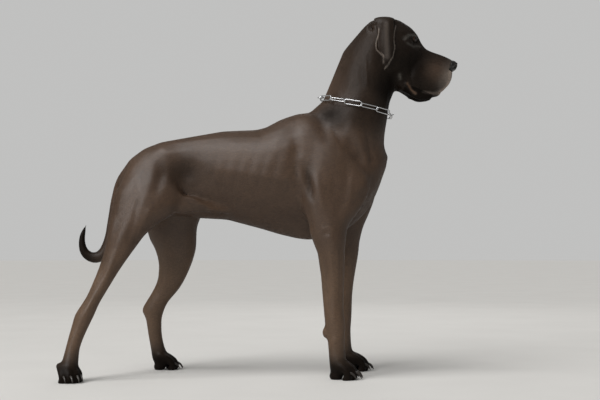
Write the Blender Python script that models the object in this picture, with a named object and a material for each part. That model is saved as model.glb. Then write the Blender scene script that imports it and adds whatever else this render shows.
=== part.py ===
"""A great dane standing in show stance with a chain collar, life-size, in metres.

The dog faces +X, its right side is towards -Y and the floor it stands on is z = 0.
"""
import math

import bmesh
import bpy
import numpy as np
from mathutils import Matrix, Vector
from mathutils.bvhtree import BVHTree

# Driving sizes of the animal
EYE_BALL_RADIUS = 0.0125
EYE_SIDE = 0.0350
EYE_AT = (-0.0090, -0.0035)
EYE_TURN_OUT = math.radians(48)
LID_THICKNESS = 0.0026
HEAD_TILT = math.radians(20)
HEAD_ORIGIN = (0.3575, 1.04375)
CUT_GAP = 0.0003
SKIN_CELL = 0.0034
SOLE_PRESS = 0.0022
SOLE_TRIM = 0.0004
RING_POINTS = 28

# Chain collar
LINK_WIDTH = 0.0185
LINK_WIRE = 0.0033
LINK_ROLLS_RIGHT = (33, -33, 33, -33, 33, -33)
LINK_ROLLS_LEFT = (-33, 33, -33, 33, -33, 33)
RING_ROLLS = (-42, 42)
RING_WIDTH = 0.0220
LINK_PLAY = 0.0011
COLLAR_NAPE = (0.0750, 0.8560)
COLLAR_THROAT = (0.2840, 0.8090)
COLLAR_STAND_OFF = 0.0118

RIGHT, LEFT = -1, 1


# Small tools for building forms

def between(rows, per_span):
    """Rows of sizes with smooth in-between rows added, as a spline through them."""
    rows = np.array(rows, float)
    padded = np.vstack([2 * rows[0] - rows[1], rows, 2 * rows[-1] - rows[-2]])
    out = []
    for i in range(len(rows) - 1):
        p0, p1, p2, p3 = padded[i:i + 4]
        for step in range(per_span):
            t = step / per_span
            out.append(0.5 * (2 * p1 + (p2 - p0) * t + (2 * p0 - 5 * p1 + 4 * p2 - p3) * t * t
                              + (3 * p1 - p0 - 3 * p2 + p3) * t * t * t))
    out.append(rows[-1])
    return np.array(out)


def signed_power(value, power):
    return math.copysign(abs(value) ** power, value)


def tube(bm, rows, place, roundness=2.2, per_span=4, ring_points=RING_POINTS):
    """A closed tube through rows of (along, low, high, side, half width, widest, pinch).

    Low and high are the section's two ends across, side its middle sideways, widest the
    share of the way up where it is widest, and pinch how much its low end narrows.
    """
    ring = None
    start = None
    for along, low, high, side, half, widest, pinch in between(rows, per_span):
        middle = low + (high - low) * widest
        points = []
        for k in range(ring_points):
            turn = 2 * math.pi * k / ring_points
            up = signed_power(math.cos(turn), 2 / roundness)
            out = signed_power(math.sin(turn), 2 / roundness)
            reach = (high - middle) if up > 0 else (middle - low)
            narrowed = 1 - pinch * max(0.0, -up)
            points.append(place(along, middle + up * reach, side + out * half * narrowed))
        if ring is None:
            made = bmesh.ops.create_circle(bm, segments=ring_points, radius=1)["verts"]
            start = ring = made
        else:
            edges = [e for e in {e for v in ring for e in v.link_edges}
                     if e.verts[0] in ring_set and e.verts[1] in ring_set]
            grown = bmesh.ops.extrude_edge_only(bm, edges=edges)["geom"]
            new = [g for g in grown if isinstance(g, bmesh.types.BMVert)]
            partner = {}
            for v in new:
                for e in v.link_edges:
                    other = e.other_vert(v)
                    if other in ring_set:
                        partner[other] = v
            ring = [partner[v] for v in ring]
        ring_set = set(ring)
        for v, p in zip(ring, points):
            v.co = p
    for end in (start, ring):
        bmesh.ops.contextual_create(bm, geom=end)


def finished(bm, name):
    bmesh.ops.recalc_face_normals(bm, faces=bm.faces)
    mesh = bpy.data.meshes.new(name)
    bm.to_mesh(mesh)
    bm.free()
    thing = bpy.data.objects.new(name, mesh)
    bpy.context.collection.objects.link(thing)
    return thing


def ball(bm, centre, radii, turn=0.0, segments=20):
    """A rounded muscle or pad: an ellipsoid, turned nose-down about the side axis."""
    spin = Matrix.Rotation(turn, 4, "Y")
    size = Matrix.Diagonal((*radii, 1))
    bmesh.ops.create_uvsphere(bm, u_segments=segments, v_segments=segments // 2, radius=1,
                              matrix=Matrix.Translation(centre) @ spin @ size)


def along_x(along, across, side):
    return Vector((along, side, across))


def along_z(along, across, side):
    return Vector((across, side, along))


def in_head(along, across, side):
    """A point of the head: along the muzzle, up across it, and sideways."""
    c, s = math.cos(HEAD_TILT), math.sin(HEAD_TILT)
    return Vector((HEAD_ORIGIN[0] + along * c + across * s, side,
                   HEAD_ORIGIN[1] - along * s + across * c))


# Trunk and neck

def trunk(bm):
    rows = [
        # along, belly, back, side, half width, widest, pinch
        (-0.560, 0.575, 0.622, 0, 0.038, 0.5, 0.0),
        (-0.545, 0.545, 0.655, 0, 0.058, 0.5, 0.0),
        (-0.515, 0.525, 0.688, 0, 0.075, 0.5, 0.0),
        (-0.475, 0.515, 0.713, 0, 0.085, 0.5, 0.0),
        (-0.430, 0.505, 0.729, 0, 0.090, 0.55, 0.0),
        (-0.385, 0.496, 0.7375, 0, 0.091, 0.56, 0.1),
        (-0.335, 0.490, 0.747, 0, 0.091, 0.56, 0.2),
        (-0.285, 0.486, 0.756, 0, 0.096, 0.55, 0.25),
        (-0.235, 0.484, 0.7625, 0, 0.106, 0.54, 0.3),
        (-0.185, 0.472, 0.765, 0, 0.118, 0.53, 0.32),
        (-0.135, 0.459, 0.766, 0, 0.128, 0.52, 0.35),
        (-0.105, 0.450, 0.774, 0, 0.133, 0.51, 0.37),
        (-0.065, 0.438, 0.796, 0, 0.137, 0.48, 0.40),
        (-0.020, 0.427, 0.813, 0, 0.137, 0.46, 0.42),
        (0.015, 0.421, 0.819, 0, 0.134, 0.45, 0.43),
        (0.060, 0.423, 0.812, 0, 0.131, 0.45, 0.42),
        (0.105, 0.432, 0.790, 0, 0.126, 0.46, 0.40),
        (0.145, 0.452, 0.765, 0, 0.119, 0.47, 0.36),
        (0.185, 0.487, 0.755, 0, 0.108, 0.46, 0.30),
        (0.215, 0.520, 0.752, 0, 0.093, 0.44, 0.25),
        (0.240, 0.568, 0.742, 0, 0.074, 0.42, 0.15),
        (0.258, 0.618, 0.722, 0, 0.050, 0.42, 0.0),
        (0.266, 0.650, 0.700, 0, 0.025, 0.45, 0.0),
    ]
    tube(bm, rows, along_x, roundness=2.15, per_span=2)


def neck(bm):
    rows = [
        # height, nape, throat, side, half width, widest, pinch
        (0.640, 0.020, 0.262, 0, 0.100, 0.52, 0.1),
        (0.703, 0.006, 0.2625, 0, 0.104, 0.52, 0.2),
        (0.753, 0.008, 0.2655, 0, 0.101, 0.54, 0.3),
        (0.803, 0.020, 0.274, 0, 0.094, 0.55, 0.38),
        (0.828, 0.036, 0.277, 0, 0.090, 0.55, 0.38),
        (0.853, 0.066, 0.281, 0, 0.086, 0.54, 0.34),
        (0.878, 0.086, 0.291, 0, 0.083, 0.53, 0.30),
        (0.903, 0.097, 0.296, 0, 0.081, 0.52, 0.28),
        (0.953, 0.116, 0.300, 0, 0.078, 0.50, 0.26),
        (1.003, 0.137, 0.305, 0, 0.074, 0.50, 0.24),
        (1.040, 0.158, 0.305, 0, 0.069, 0.50, 0.22),
        (1.075, 0.188, 0.300, 0, 0.058, 0.50, 0.2),
        (1.096, 0.210, 0.290, 0, 0.040, 0.50, 0.2),
    ]
    tube(bm, rows, along_z, roundness=2.1, per_span=3)


def tail(bm):
    path = [
        # x, y, z, radius
        (-0.515, 0.000, 0.640, 0.0290), (-0.548, 0.000, 0.608, 0.0265),
        (-0.568, 0.002, 0.553, 0.0235), (-0.580, 0.004, 0.490, 0.0215),
        (-0.592, 0.005, 0.430, 0.0200), (-0.609, 0.005, 0.388, 0.0190),
        (-0.630, 0.004, 0.3685, 0.0180), (-0.652, 0.002, 0.368, 0.0168),
        (-0.671, 0.000, 0.381, 0.0148), (-0.6805, -0.001, 0.405, 0.0126),
        (-0.6805, -0.001, 0.431, 0.0108), (-0.674, 0.000, 0.455, 0.0078),
        (-0.6655, 0.000, 0.474, 0.0035),
    ]
    rope(bm, path)


def rope(bm, path, per_span=4, flat=1.0, ring_points=RING_POINTS):
    """A round tube along a bent path of (x, y, z, radius)."""
    rows = between(path, per_span)
    middle = [Vector(r[:3]) for r in rows]
    for_place = {}
    for i, p in enumerate(middle):
        ahead = middle[min(i + 1, len(middle) - 1)]
        behind = middle[max(i - 1, 0)]
        run = (ahead - behind).normalized()
        side = Vector((0, 1, 0))
        side = (side - run * side.dot(run)).normalized()
        for_place[i] = (p, run.cross(side), side * flat)

    def place(along, across, side_way):
        p, up, side = for_place[int(round(along))]
        return p + up * across + side * side_way

    simple = [(i, -r[3], r[3], 0, r[3], 0.5, 0) for i, r in enumerate(rows)]
    tube(bm, simple, place, roundness=2, per_span=1, ring_points=ring_points)


# Head

def skull(bm):
    rows = [
        # along, jaw, crown, side, half width, widest, pinch
        (-0.164, -0.085, -0.012, 0, 0.034, 0.5, 0.0),
        (-0.150, -0.105, 0.010, 0, 0.054, 0.55, 0.1),
        (-0.126, -0.125, 0.0285, 0, 0.067, 0.58, 0.2),
        (-0.100, -0.140, 0.0385, 0, 0.0735, 0.60, 0.25),
        (-0.070, -0.150, 0.0415, 0, 0.0765, 0.60, 0.28),
        (-0.040, -0.158, 0.0375, 0, 0.0755, 0.60, 0.30),
        (-0.015, -0.160, 0.0285, 0, 0.0695, 0.60, 0.32),
        (0.005, -0.160, 0.0165, 0, 0.0600, 0.58, 0.34),
        (0.022, -0.158, 0.0010, 0, 0.0500, 0.55, 0.34),
        (0.040, -0.155, -0.0115, 0, 0.0430, 0.50, 0.34),
    ]
    tube(bm, rows, in_head, roundness=2.35, per_span=2)


def muzzle(bm):
    rows = [
        # along, roof of the lower lip, bridge, side, half width, widest, pinch
        (0.010, -0.120, -0.014, 0, 0.044, 0.35, 0.0),
        (0.036, -0.120, -0.0125, 0, 0.0405, 0.35, 0.0),
        (0.062, -0.120, -0.0145, 0, 0.0385, 0.35, 0.0),
        (0.092, -0.118, -0.0135, 0, 0.0380, 0.35, 0.0),
        (0.118, -0.112, -0.0150, 0, 0.0355, 0.38, 0.0),
        (0.134, -0.104, -0.0185, 0, 0.0290, 0.45, 0.0),
        (0.144, -0.092, -0.0300, 0, 0.0190, 0.50, 0.0),
    ]
    tube(bm, rows, in_head, roundness=2.9, per_span=2)


def flew(bm, side):
    """The deep upper lip of one side, square in front and fullest below the nose."""
    rows = [
        # along, lip edge, top, side, half thickness, widest, pinch
        (0.016, -0.128, -0.060, side * 0.034, 0.012, 0.5, 0.3),
        (0.034, -0.147, -0.048, side * 0.033, 0.0150, 0.45, 0.35),
        (0.056, -0.1485, -0.042, side * 0.0315, 0.0170, 0.42, 0.35),
        (0.080, -0.1405, -0.040, side * 0.0300, 0.0180, 0.40, 0.35),
        (0.104, -0.1340, -0.042, side * 0.0275, 0.0180, 0.40, 0.32),
        (0.126, -0.1270, -0.048, side * 0.0230, 0.0175, 0.42, 0.30),
        (0.141, -0.1120, -0.054, side * 0.0170, 0.0150, 0.45, 0.2),
        (0.149, -0.0920, -0.062, side * 0.0120, 0.0090, 0.5, 0.0),
    ]
    tube(bm, rows, in_head, roundness=2.3, per_span=2)


def lower_jaw(bm):
    rows = [
        # along, chin line, inside the mouth, side, half width, widest, pinch
        (-0.030, -0.166, -0.110, 0, 0.042, 0.5, 0.2),
        (0.010, -0.1660, -0.110, 0, 0.038, 0.5, 0.2),
        (0.040, -0.1640, -0.110, 0, 0.033, 0.5, 0.2),
        (0.070, -0.1600, -0.105, 0, 0.0290, 0.5, 0.2),
        (0.100, -0.1520, -0.100, 0, 0.0265, 0.5, 0.2),
        (0.122, -0.1430, -0.100, 0, 0.0230, 0.5, 0.2),
        (0.133, -0.1340, -0.104, 0, 0.0150, 0.5, 0.1),
    ]
    tube(bm, rows, in_head, roundness=2.4, per_span=2)


def lip_corner(bm, side):
    """The slack fold of the lower lip that hangs below the edge of the flew."""
    path = [
        (*in_head(0.006, -0.150, side * 0.026), 0.0120), (*in_head(0.030, -0.1545, side * 0.0275), 0.0125),
        (*in_head(0.052, -0.1590, side * 0.0275), 0.0130), (*in_head(0.074, -0.1615, side * 0.0255), 0.0130),
        (*in_head(0.094, -0.1545, side * 0.0230), 0.0110), (*in_head(0.112, -0.1460, side * 0.0200), 0.0085),
    ]
    rope(bm, path, per_span=3)


def head_fleshing(bm, side):
    """Cheek muscle, cheekbone and brow of one side."""
    ball(bm, in_head(-0.056, -0.080, side * 0.051), (0.050, 0.0250, 0.054), 0.3)
    ball(bm, in_head(-0.034, -0.024, side * 0.056), (0.040, 0.0170, 0.018), 0.25)
    ball(bm, in_head(-0.013, 0.0090, side * 0.0380), (0.024, 0.0135, 0.0100), 0.70)
    ball(bm, in_head(-0.012, -0.009, side * 0.0330), (0.025, 0.0165, 0.021), 0.3)


def nose(bm):
    rows = [
        # along, lip, top, side, half width, widest, pinch
        (0.126, -0.0500, -0.0190, 0, 0.0195, 0.6, 0.3),
        (0.136, -0.0495, -0.0165, 0, 0.0215, 0.6, 0.35),
        (0.145, -0.0485, -0.0175, 0, 0.0210, 0.6, 0.40),
        (0.1515, -0.0440, -0.0225, 0, 0.0165, 0.6, 0.40),
        (0.1535, -0.0390, -0.0275, 0, 0.0100, 0.6, 0.30),
    ]
    tube(bm, rows, in_head, roundness=2.5, per_span=3)


# Legs

def fore_leg(bm, side):
    """Shoulder, forearm and pastern. The left leg stands a little further forward."""
    right_rows = [
        # height, rear, front, side, half width, widest, pinch
        (0.790, 0.015, 0.070, 0.038, 0.024, 0.5, 0.0),
        (0.740, 0.008, 0.115, 0.067, 0.036, 0.5, 0.0),
        (0.680, -0.002, 0.165, 0.085, 0.046, 0.5, 0.0),
        (0.610, -0.006, 0.207, 0.096, 0.048, 0.5, 0.0),
        (0.555, 0.000, 0.204, 0.102, 0.047, 0.5, 0.0),
        (0.505, 0.012, 0.178, 0.108, 0.046, 0.5, 0.0),
        (0.466, 0.0265, 0.148, 0.113, 0.0440, 0.52, 0.1),
        (0.418, 0.0380, 0.1395, 0.116, 0.0405, 0.55, 0.2),
        (0.379, 0.0515, 0.1365, 0.1160, 0.0360, 0.58, 0.2),
        (0.315, 0.0615, 0.1345, 0.1150, 0.0310, 0.58, 0.2),
        (0.255, 0.0664, 0.1330, 0.1140, 0.0275, 0.56, 0.15),
        (0.204, 0.0715, 0.1330, 0.1140, 0.0280, 0.54, 0.1),
        (0.172, 0.0740, 0.1375, 0.1140, 0.0295, 0.54, 0.1),
        (0.134, 0.0815, 0.1370, 0.1145, 0.0275, 0.52, 0.1),
        (0.089, 0.0850, 0.1370, 0.1150, 0.0280, 0.50, 0.0),
        (0.055, 0.0880, 0.1400, 0.1160, 0.0310, 0.50, 0.0),
        (0.030, 0.0920, 0.1430, 0.1160, 0.0330, 0.50, 0.0),
    ]
    left_rows = [
        (0.790, 0.015, 0.070, 0.038, 0.024, 0.5, 0.0),
        (0.740, 0.008, 0.118, 0.067, 0.036, 0.5, 0.0),
        (0.680, 0.000, 0.180, 0.085, 0.046, 0.5, 0.0),
        (0.610, 0.006, 0.240, 0.094, 0.047, 0.5, 0.0),
        (0.555, 0.020, 0.240, 0.098, 0.047, 0.5, 0.0),
        (0.505, 0.050, 0.223, 0.105, 0.046, 0.5, 0.0),
        (0.466, 0.072, 0.2060, 0.112, 0.0440, 0.52, 0.1),
        (0.418, 0.089, 0.1940, 0.116, 0.0405, 0.55, 0.2),
        (0.379, 0.101, 0.1895, 0.1160, 0.0360, 0.58, 0.2),
        (0.315, 0.104, 0.1785, 0.1150, 0.0310, 0.58, 0.2),
        (0.255, 0.1035, 0.1705, 0.1140, 0.0275, 0.56, 0.15),
        (0.204, 0.1050, 0.1685, 0.1140, 0.0280, 0.54, 0.1),
        (0.172, 0.1040, 0.1670, 0.1140, 0.0295, 0.54, 0.1),
        (0.134, 0.1090, 0.1645, 0.1145, 0.0275, 0.52, 0.1),
        (0.089, 0.1130, 0.1660, 0.1150, 0.0280, 0.50, 0.0),
        (0.055, 0.1180, 0.1710, 0.1160, 0.0310, 0.50, 0.0),
        (0.030, 0.1250, 0.1800, 0.1160, 0.0330, 0.50, 0.0),
    ]
    rows = [(z, r, f, side * y, *rest)
            for z, r, f, y, *rest in (right_rows if side == RIGHT else left_rows)]
    tube(bm, rows, along_z, roundness=2.15, per_span=3)
    shift = 0.0 if side == RIGHT else 0.032
    ball(bm, (0.0775 + shift, side * 0.116, 0.143), (0.0125, 0.0125, 0.0200), 0.1)
    ball(bm, (0.0440 + shift * 1.4, side * 0.121, 0.452), (0.018, 0.020, 0.028), 0.4)


def hind_leg(bm, side):
    """Thigh, second thigh, hock and rear pastern; the right leg is stretched back."""
    right_rows = [
        # height, rear, front, side, half width, widest, pinch
        (0.694, -0.470, -0.410, 0.036, 0.022, 0.5, 0.0),
        (0.655, -0.518, -0.380, 0.052, 0.036, 0.5, 0.0),
        (0.608, -0.543, -0.366, 0.070, 0.045, 0.5, 0.0),
        (0.572, -0.5640, -0.362, 0.081, 0.049, 0.5, 0.0),
        (0.530, -0.5720, -0.362, 0.091, 0.0505, 0.5, 0.0),
        (0.500, -0.5770, -0.382, 0.098, 0.049, 0.5, 0.0),
        (0.470, -0.5810, -0.428, 0.105, 0.0465, 0.5, 0.0),
        (0.440, -0.5840, -0.464, 0.112, 0.0425, 0.5, 0.1),
        (0.405, -0.5870, -0.490, 0.120, 0.0380, 0.52, 0.2),
        (0.367, -0.5960, -0.5170, 0.129, 0.0330, 0.55, 0.3),
        (0.331, -0.6070, -0.5410, 0.136, 0.0290, 0.55, 0.35),
        (0.300, -0.6190, -0.5590, 0.142, 0.0255, 0.55, 0.35),
        (0.262, -0.6340, -0.5810, 0.149, 0.0240, 0.55, 0.3),
        (0.236, -0.6480, -0.5960, 0.154, 0.0250, 0.55, 0.3),
        (0.216, -0.6610, -0.6050, 0.157, 0.0270, 0.55, 0.3),
        (0.196, -0.6720, -0.6130, 0.160, 0.0270, 0.55, 0.25),
        (0.172, -0.6780, -0.6240, 0.163, 0.0240, 0.52, 0.2),
        (0.137, -0.6870, -0.6395, 0.168, 0.0225, 0.5, 0.1),
        (0.098, -0.6960, -0.6530, 0.173, 0.0225, 0.5, 0.0),
        (0.060, -0.7050, -0.6560, 0.178, 0.0260, 0.5, 0.0),
        (0.034, -0.7080, -0.6590, 0.182, 0.0280, 0.5, 0.0),
    ]
    left_rows = [
        (0.694, -0.470, -0.400, 0.036, 0.022, 0.5, 0.0),
        (0.655, -0.512, -0.360, 0.052, 0.036, 0.5, 0.0),
        (0.608, -0.530, -0.325, 0.070, 0.045, 0.5, 0.0),
        (0.560, -0.522, -0.308, 0.083, 0.050, 0.5, 0.0),
        (0.510, -0.505, -0.312, 0.094, 0.0505, 0.5, 0.0),
        (0.465, -0.496, -0.3290, 0.102, 0.049, 0.5, 0.0),
        (0.426, -0.487, -0.3320, 0.109, 0.0450, 0.5, 0.1),
        (0.393, -0.4700, -0.3350, 0.115, 0.0400, 0.52, 0.2),
        (0.348, -0.4590, -0.3490, 0.123, 0.0345, 0.55, 0.3),
        (0.297, -0.4630, -0.3720, 0.131, 0.0295, 0.55, 0.35),
        (0.260, -0.4790, -0.3950, 0.137, 0.0260, 0.55, 0.35),
        (0.227, -0.4990, -0.4240, 0.141, 0.0260, 0.55, 0.3),
        (0.207, -0.5110, -0.4370, 0.143, 0.0270, 0.55, 0.3),
        (0.190, -0.5150, -0.4430, 0.144, 0.0270, 0.55, 0.25),
        (0.165, -0.5030, -0.4500, 0.145, 0.0240, 0.52, 0.2),
        (0.116, -0.4955, -0.4495, 0.147, 0.0225, 0.5, 0.1),
        (0.070, -0.4870, -0.4400, 0.149, 0.0235, 0.5, 0.0),
        (0.044, -0.4830, -0.4280, 0.150, 0.0270, 0.5, 0.0),
        (0.028, -0.4790, -0.4250, 0.150, 0.0285, 0.5, 0.0),
    ]
    rows = [(z, r, f, side * y, *rest)
            for z, r, f, y, *rest in (right_rows if side == RIGHT else left_rows)]
    tube(bm, rows, along_z, roundness=2.15, per_span=3)


# Where each foot stands: x, y, heading outwards, size
FEET = {
    "front_right": (0.1310, -0.1170, RIGHT, math.radians(12), 1.0),
    "front_left": (0.1790, 0.1170, LEFT, math.radians(8), 1.0),
    "hind_right": (-0.6830, -0.1900, RIGHT, math.radians(55), 0.93),
    "hind_left": (-0.4370, 0.1520, LEFT, math.radians(14), 0.93),
}
# Each toe: side step, reach forward, width share
TOES = [(-0.0250, 0.0130, 0.92), (-0.0094, 0.0270, 1.0), (0.0094, 0.0270, 1.0), (0.0250, 0.0130, 0.92)]


def foot_place(foot):
    x, y, side, out, size = FEET[foot]
    turn = side * out
    forward = Vector((math.cos(turn), math.sin(turn), 0)) * size
    across = Vector((-math.sin(turn), math.cos(turn), 0)) * size
    centre = Vector((x, y, 0))

    def place(ahead, sideways, up):
        return centre + forward * ahead + across * sideways + Vector((0, 0, up * size))
    return place


def foot(bm, name):
    """Four arched toes with their pads, and the large heel pad behind them."""
    place = foot_place(name)
    size = FEET[name][4]
    for sideways, reach, share in TOES:
        spread = sideways * 1.16
        path = [
            (*place(reach - 0.046, sideways * 0.75, 0.054), 0.0120 * share * size),
            (*place(reach - 0.022, sideways * 0.95, 0.0455), 0.0135 * share * size),
            (*place(reach - 0.002, spread, 0.0320), 0.0128 * share * size),
            (*place(reach + 0.006, spread, 0.0190), 0.0120 * share * size),
            (*place(reach + 0.006, spread, 0.0100), 0.0105 * share * size),
        ]
        rope(bm, path, per_span=3)
        ball(bm, place(reach + 0.000, spread, 0.0070), [0.0140 * size, 0.0102 * size, 0.0095 * size])
    ball(bm, place(-0.0230, 0, 0.0120), [0.0210 * size, 0.0260 * size, 0.0150 * size])
    ball(bm, place(-0.0120, 0, 0.0340), [0.0300 * size, 0.0310 * size, 0.0230 * size])


def flank_fold(bm, side):
    """The web of skin that runs from the front of the thigh to the belly."""
    rows = [
        # along, lower edge, top, side, half thickness, widest, pinch
        (-0.430, 0.484, 0.560, side * 0.092, 0.022, 0.5, 0.0),
        (-0.380, 0.4990, 0.562, side * 0.089, 0.018, 0.5, 0.1),
        (-0.330, 0.5030, 0.556, side * 0.084, 0.015, 0.5, 0.2),
        (-0.285, 0.5020, 0.542, side * 0.077, 0.013, 0.5, 0.2),
        (-0.240, 0.4990, 0.525, side * 0.067, 0.010, 0.5, 0.1),
        (-0.205, 0.4990, 0.512, side * 0.056, 0.005, 0.5, 0.0),
    ]
    tube(bm, rows, along_x, roundness=2.1, per_span=2)


def flesh():
    """The whole animal but its ears, as overlapping forms."""
    bm = bmesh.new()
    trunk(bm)
    neck(bm)
    tail(bm)
    skull(bm)
    muzzle(bm)
    lower_jaw(bm)
    nose(bm)
    for side in (RIGHT, LEFT):
        flew(bm, side)
        lip_corner(bm, side)
        head_fleshing(bm, side)
        fore_leg(bm, side)
        hind_leg(bm, side)
        flank_fold(bm, side)
    for name in FEET:
        foot(bm, name)
    return finished(bm, "flesh")


# Finishing the skin

def settle(thing):
    """The object's modifiers made part of its mesh."""
    graph = bpy.context.evaluated_depsgraph_get()
    mesh = bpy.data.meshes.new_from_object(thing.evaluated_get(graph))
    old = thing.data
    thing.modifiers.clear()
    thing.data = mesh
    bpy.data.meshes.remove(old)


def points_of(thing):
    points = np.empty(len(thing.data.vertices) * 3)
    thing.data.vertices.foreach_get("co", points)
    return points.reshape(-1, 3)


def normals_of(thing):
    normals = np.empty(len(thing.data.vertices) * 3)
    thing.data.vertices.foreach_get("normal", normals)
    return normals.reshape(-1, 3)


def move_to(thing, points):
    thing.data.vertices.foreach_set("co", points.ravel())
    thing.data.update()


def soften(thing, share, times):
    """Smooths the skin, each point by its share between 0 and 1."""
    group = thing.vertex_groups.new(name="share")
    for level in range(1, 11):
        members = np.nonzero((share > (level - 0.5) / 10) & (share <= (level + 0.5) / 10))[0]
        group.add(members.tolist(), level / 10, "REPLACE")
    smooth = thing.modifiers.new("soften", "SMOOTH")
    smooth.vertex_group = "share"
    smooth.iterations = times
    smooth.factor = 0.5
    settle(thing)
    thing.vertex_groups.clear()


def rise(low, high, value):
    t = np.clip((value - low) / (high - low), 0, 1)
    return t * t * (3 - 2 * t)


def head_ways(points):
    """Along the muzzle and up across the head, for every point."""
    c, s = math.cos(HEAD_TILT), math.sin(HEAD_TILT)
    dx = points[:, 0] - HEAD_ORIGIN[0]
    dz = points[:, 2] - HEAD_ORIGIN[1]
    return dx * c - dz * s, dx * s + dz * c


def closeness(points, centre, radii):
    return np.exp(-(((points - np.array(centre)) / np.array(radii)) ** 2).sum(axis=1))


def along_path(points, path, width):
    """How near each point is to a path, 1 on it and falling to 0 sideways and at its ends."""
    path = np.array(path, float)
    best = np.full(len(points), 1e9)
    where = np.zeros(len(points))
    lengths = np.linalg.norm(np.diff(path, axis=0), axis=1)
    total = lengths.sum()
    run = 0.0
    for a, b, length in zip(path[:-1], path[1:], lengths):
        t = np.clip(((points - a) @ (b - a)) / length ** 2, 0, 1)
        d = np.linalg.norm(points - (a + t[:, None] * (b - a)), axis=1)
        nearer = d < best
        best[nearer] = d[nearer]
        where[nearer] = (run + t[nearer] * length) / total
        run += length
    ends = np.minimum(rise(0, 0.2, where), 1 - rise(0.8, 1, where)) * 0.85 + 0.15
    return np.exp(-(best / width) ** 2) * ends


def shape_muscles(thing):
    """The larger muscles, bones and hollows that show through the short coat."""
    points = points_of(thing)
    normals = normals_of(thing)
    push = np.zeros(len(points))
    for side in (RIGHT, LEFT):
        mine = rise(0.0, 0.03, side * points[:, 1])
        fore = 0.0 if side == RIGHT else 0.030
        hind = 0.0 if side == RIGHT else 0.045

        def swell(x, y, z, rx, ry, rz, height):
            nonlocal push
            push += mine * height * closeness(points, (x, side * y, z), (rx, ry, rz))

        def groove(path, width, depth):
            nonlocal push
            push -= mine * depth * along_path(points, [(x, side * y, z) for x, y, z in path], width)

        # shoulder blade, upper arm and point of the shoulder
        groove([(0.110, 0.070, 0.790), (0.160, 0.095, 0.715), (0.200, 0.105, 0.640)], 0.022, 0.006)
        groove([(0.000, 0.080, 0.760), (-0.012, 0.120, 0.680), (-0.010, 0.135, 0.600),
                (0.008, 0.140, 0.520), (0.030, 0.125, 0.455)], 0.016, 0.007)
        swell(0.045 + fore * 0.5, 0.145, 0.570, 0.045, 0.05, 0.075, 0.007)
        swell(0.195 + fore * 0.7, 0.110, 0.585, 0.028, 0.04, 0.030, 0.006)
        groove([(0.110 + fore, 0.150, 0.620), (0.120 + fore, 0.155, 0.540),
                (0.105 + fore, 0.150, 0.480)], 0.013, 0.004)
        groove([(0.235, 0.020, 0.640), (0.222, 0.030, 0.560), (0.190, 0.045, 0.500)], 0.015, 0.005)
        # forearm
        swell(0.095 + fore * 1.4, 0.150, 0.400, 0.030, 0.03, 0.045, 0.004)
        groove([(0.070 + fore * 1.5, 0.150, 0.400), (0.084 + fore * 1.3, 0.143, 0.310),
                (0.090 + fore, 0.140, 0.220)], 0.008, 0.004)
        # hip bone, hollow of the flank and muscles of the thigh
        swell(-0.418, 0.060, 0.692, 0.026, 0.03, 0.022, 0.006)
        swell(-0.350, 0.110, 0.632, 0.048, 0.06, 0.042, -0.013)
        swell(-0.420, 0.120, 0.640, 0.018, 0.06, 0.040, -0.004)
        groove([(-0.505 + hind, 0.120, 0.640), (-0.515 + hind, 0.135, 0.560),
                (-0.535 + hind, 0.145, 0.480), (-0.560 + hind, 0.150, 0.410)], 0.016, 0.005)
        swell(-0.455 + hind, 0.140, 0.545, 0.045, 0.05, 0.060, 0.006)
        # fold of skin from the knee to the belly
        groove([(-0.385 + hind, 0.105, 0.560), (-0.335 + hind, 0.095, 0.548),
                (-0.285 + hind * 0.5, 0.085, 0.520), (-0.240, 0.080, 0.503)], 0.007, -0.006)
        # hollow in front of the heel tendon, on both faces of the leg
        if side == RIGHT:
            tendon = [(-0.578, 0.135, 0.345), (-0.612, 0.145, 0.285), (-0.640, 0.152, 0.238)]
        else:
            tendon = [(-0.440, 0.125, 0.345), (-0.447, 0.134, 0.285), (-0.478, 0.141, 0.236)]
        for inside in (-0.028, 0.028):
            groove([(x, y + inside, z) for x, y, z in tendon], 0.008, 0.0045)
    push += 0.006 * closeness(points, (0.262, 0, 0.668), (0.03, 0.03, 0.03))
    push -= 0.004 * along_path(points, [(-0.45, 0, 0.725), (-0.30, 0, 0.755), (-0.15, 0, 0.766)], 0.012)
    move_to(thing, points + normals * push[:, None])


def eye_centre(side):
    return in_head(*EYE_AT, side * EYE_SIDE)


def eye_way(side):
    """The direction the eye looks: forwards, outwards and slightly up."""
    ahead = in_head(1, 0, 0) - in_head(0, 0, 0)
    up = in_head(0, 1, 0) - in_head(0, 0, 0)
    way = ahead * math.cos(EYE_TURN_OUT) + Vector((0, side, 0)) * math.sin(EYE_TURN_OUT) + up * 0.08
    return way.normalized()


def wrap_lids(thing):
    """Draws the skin around each eye down on to the eyeball, as lids."""
    points = points_of(thing)
    for side in (RIGHT, LEFT):
        centre = np.array(eye_centre(side))
        reach = points - centre
        far = np.linalg.norm(reach, axis=1)
        turn = np.degrees(np.arccos(np.clip(reach @ np.array(eye_way(side)) / np.maximum(far, 1e-9), -1, 1)))
        share = (1 - rise(42, 88, turn)) * (1 - rise(0.030, 0.045, far))
        wanted = EYE_BALL_RADIUS + LID_THICKNESS
        new = far + (wanted - far) * share
        points = centre + reach * (new / np.maximum(far, 1e-9))[:, None]
    move_to(thing, points)


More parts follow.
